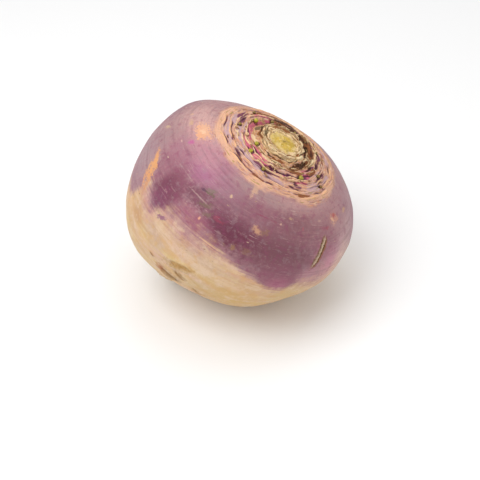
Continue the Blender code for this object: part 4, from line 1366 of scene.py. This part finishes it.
shreds, given, wanted = geometry_tree("corky shreds", SCATTER_INPUTS)
flake = put(shreds, "GeometryNodeMeshCube", {"Vertices X": 6, "Vertices Y": 2, "Vertices Z": 4}).outputs[0]
along, across, up = put(shreds, "ShaderNodeSeparateXYZ", {0: own_place(shreds)}).outputs
flake_up = calc(shreds, "ADD", up, 0.5)
shorter = calc(shreds, "SUBTRACT", 1, calc(shreds, "MULTIPLY", flake_up, SHRED_TAPER))
curl = calc(shreds, "MULTIPLY", calc(shreds, "POWER", flake_up, 2), SHRED_CURL)
sides = calc(shreds, "MULTIPLY", along, shorter), calc(shreds, "SUBTRACT", across, curl)
flake = shaped_to(shreds, flake, flake_up, (*sides, calc(shreds, "ADD", up, SHRED_LIFT)))
shred_paint = corky_paint("corky shred", (150, 102, 62), (232, 198, 156), (120, 74, 46), 1.6, 0.5)
finish_tree(shreds, scatter(shreds, given, flake), shred_paint, wanted, SHRED_TEAR, SHRED_PITCH)
far_side = fade(np.sin(lon), 0.2, 0.7)
rim_mask = lip_cork_and_highlight * on_crown * fade(radius, 12.0, 14.0) * fade(radius + 7.0 * far_side, 29.0, 24.0)
corky_shreds = grow("corky_shreds", masked_skin("rims", rim_mask), shreds, SHREDS, shred_paint)
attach(corky_shreds, "root")

# --------------------------------------------------------------------------
# Pores. The skin breathes through lenticels, which show as low corky grains on the flanks. They are drawn
# out round the root by its growth, and lie thick in some places and thin in others.
# --------------------------------------------------------------------------
PORES = {"Density": 5200.0, "Seed": 9, "Tilt": (0.0, 0.0, 0.3)}
PORES |= {"Least Size": (0.0005, 0.0003, 0.00012), "Most Size": (0.0015, 0.0006, 0.00028)}
PORE_FLOOR = 0.004
PORE_PATCH = 16  # in mm

pores, given, wanted = geometry_tree("pores", SCATTER_INPUTS)
pore_ball = put(pores, "GeometryNodeMeshUVSphere", {"Segments": 8, "Rings": 5, "Radius": 0.5}).outputs[0]
across, along, up = put(pores, "ShaderNodeSeparateXYZ", {0: own_place(pores)}).outputs
pore_ball = keep(pores, pore_ball, "up", calc(pores, "ADD", up, 0.5))
pore_paint = corky_paint("pore", (150, 112, 92), (214, 184, 160), (128, 86, 62), 1.2, 0.5)
finish_tree(pores, scatter(pores, given, pore_ball), pore_paint, wanted)
open_flank = (1 - fade(on_crown, 0.0, 0.1)) * (shaped[:, 2] > PORE_FLOOR) * (floor_darkening < 0.05)
open_flank *= 0.25 + 0.75 * fade(smooth_noise(places / PORE_PATCH + 61), -0.1, 0.3)
skin_pores = grow("pores", masked_skin("flanks", open_flank), pores, PORES, pore_paint)
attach(skin_pores, "root")

# --------------------------------------------------------------------------
# Rootlets. Fine side roots grew out of the hollows and round the taproot, and broke off short in lifting.
# The cut through the taproot shows the ends of its woody fibres as stubble.
# --------------------------------------------------------------------------
ROOTLETS = {"Density": 60000.0, "Seed": 3, "Tilt": (0.8, 0.8, 3.1)}
ROOTLETS |= {"Least Size": (0.0004, 0.0004, 0.0008), "Most Size": (0.0008, 0.0008, 0.0032)}
STUBBLE = {"Density": 620000.0, "Seed": 6, "Tilt": (0.35, 0.35, 3.1)}
STUBBLE |= {"Least Size": (0.00022, 0.00022, 0.0005), "Most Size": (0.0004, 0.0004, 0.0012)}
ROOTLET_SUNK = 0.2
ROOTLET_BEND = 0.0006
ROOTLET_PITCH = 0.003
ROOTLET_FLOOR = 0.006
HIDDEN_SIDE = -0.012
ROOTLET_RING = (7, 3)  # how far from the taproot's axis, and half width, in mm
STUBBLE_RING = (3.4, 0.8)

rootlet_paint = corky_paint("rootlet", (136, 98, 60), (206, 172, 124), (92, 60, 36), 1.4, 0.55)


def rootlet_tree(name):
    """Tapered strands, sunk a little at the foot, each bent its own way."""
    tree, given, wanted = geometry_tree(name, SCATTER_INPUTS)
    sockets = {"Vertices": 6, "Side Segments": 5, "Radius Top": 0.18, "Radius Bottom": 0.5, "Depth": 1.0}
    strand = put(tree, "GeometryNodeMeshCone", sockets).outputs[0]
    across, along, up = put(tree, "ShaderNodeSeparateXYZ", {0: own_place(tree)}).outputs
    strand = shaped_to(tree, strand, up, (across, along, calc(tree, "SUBTRACT", up, ROOTLET_SUNK)))
    finish_tree(tree, scatter(tree, given, strand), rootlet_paint, wanted, ROOTLET_BEND, ROOTLET_PITCH)
    return tree


furrowed = fade(floor_darkening, 0.35, 0.8) * (latitude < -5)
hidden_side = (shaped[:, 1] > HIDDEN_SIDE) * lower_half
ringed = bump(from_taproot - ROOTLET_RING[0], ROOTLET_RING[1]) * hidden_side * (cut < 0.5)
hollows = masked_skin("hollows", np.maximum(0.3 * furrowed, 0.45 * ringed) * (shaped[:, 2] > ROOTLET_FLOOR))
rootlets = grow("rootlets", hollows, rootlet_tree("rootlets"), ROOTLETS, rootlet_paint)
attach(rootlets, "root")

fibrous = 0.25 + 0.75 * bump(from_taproot - STUBBLE_RING[0], STUBBLE_RING[1])
cut_face = masked_skin("cut", cut * fibrous)
stubble = grow("taproot_fibres", cut_face, rootlet_tree("fibres"), STUBBLE, rootlet_paint)
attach(stubble, "root")
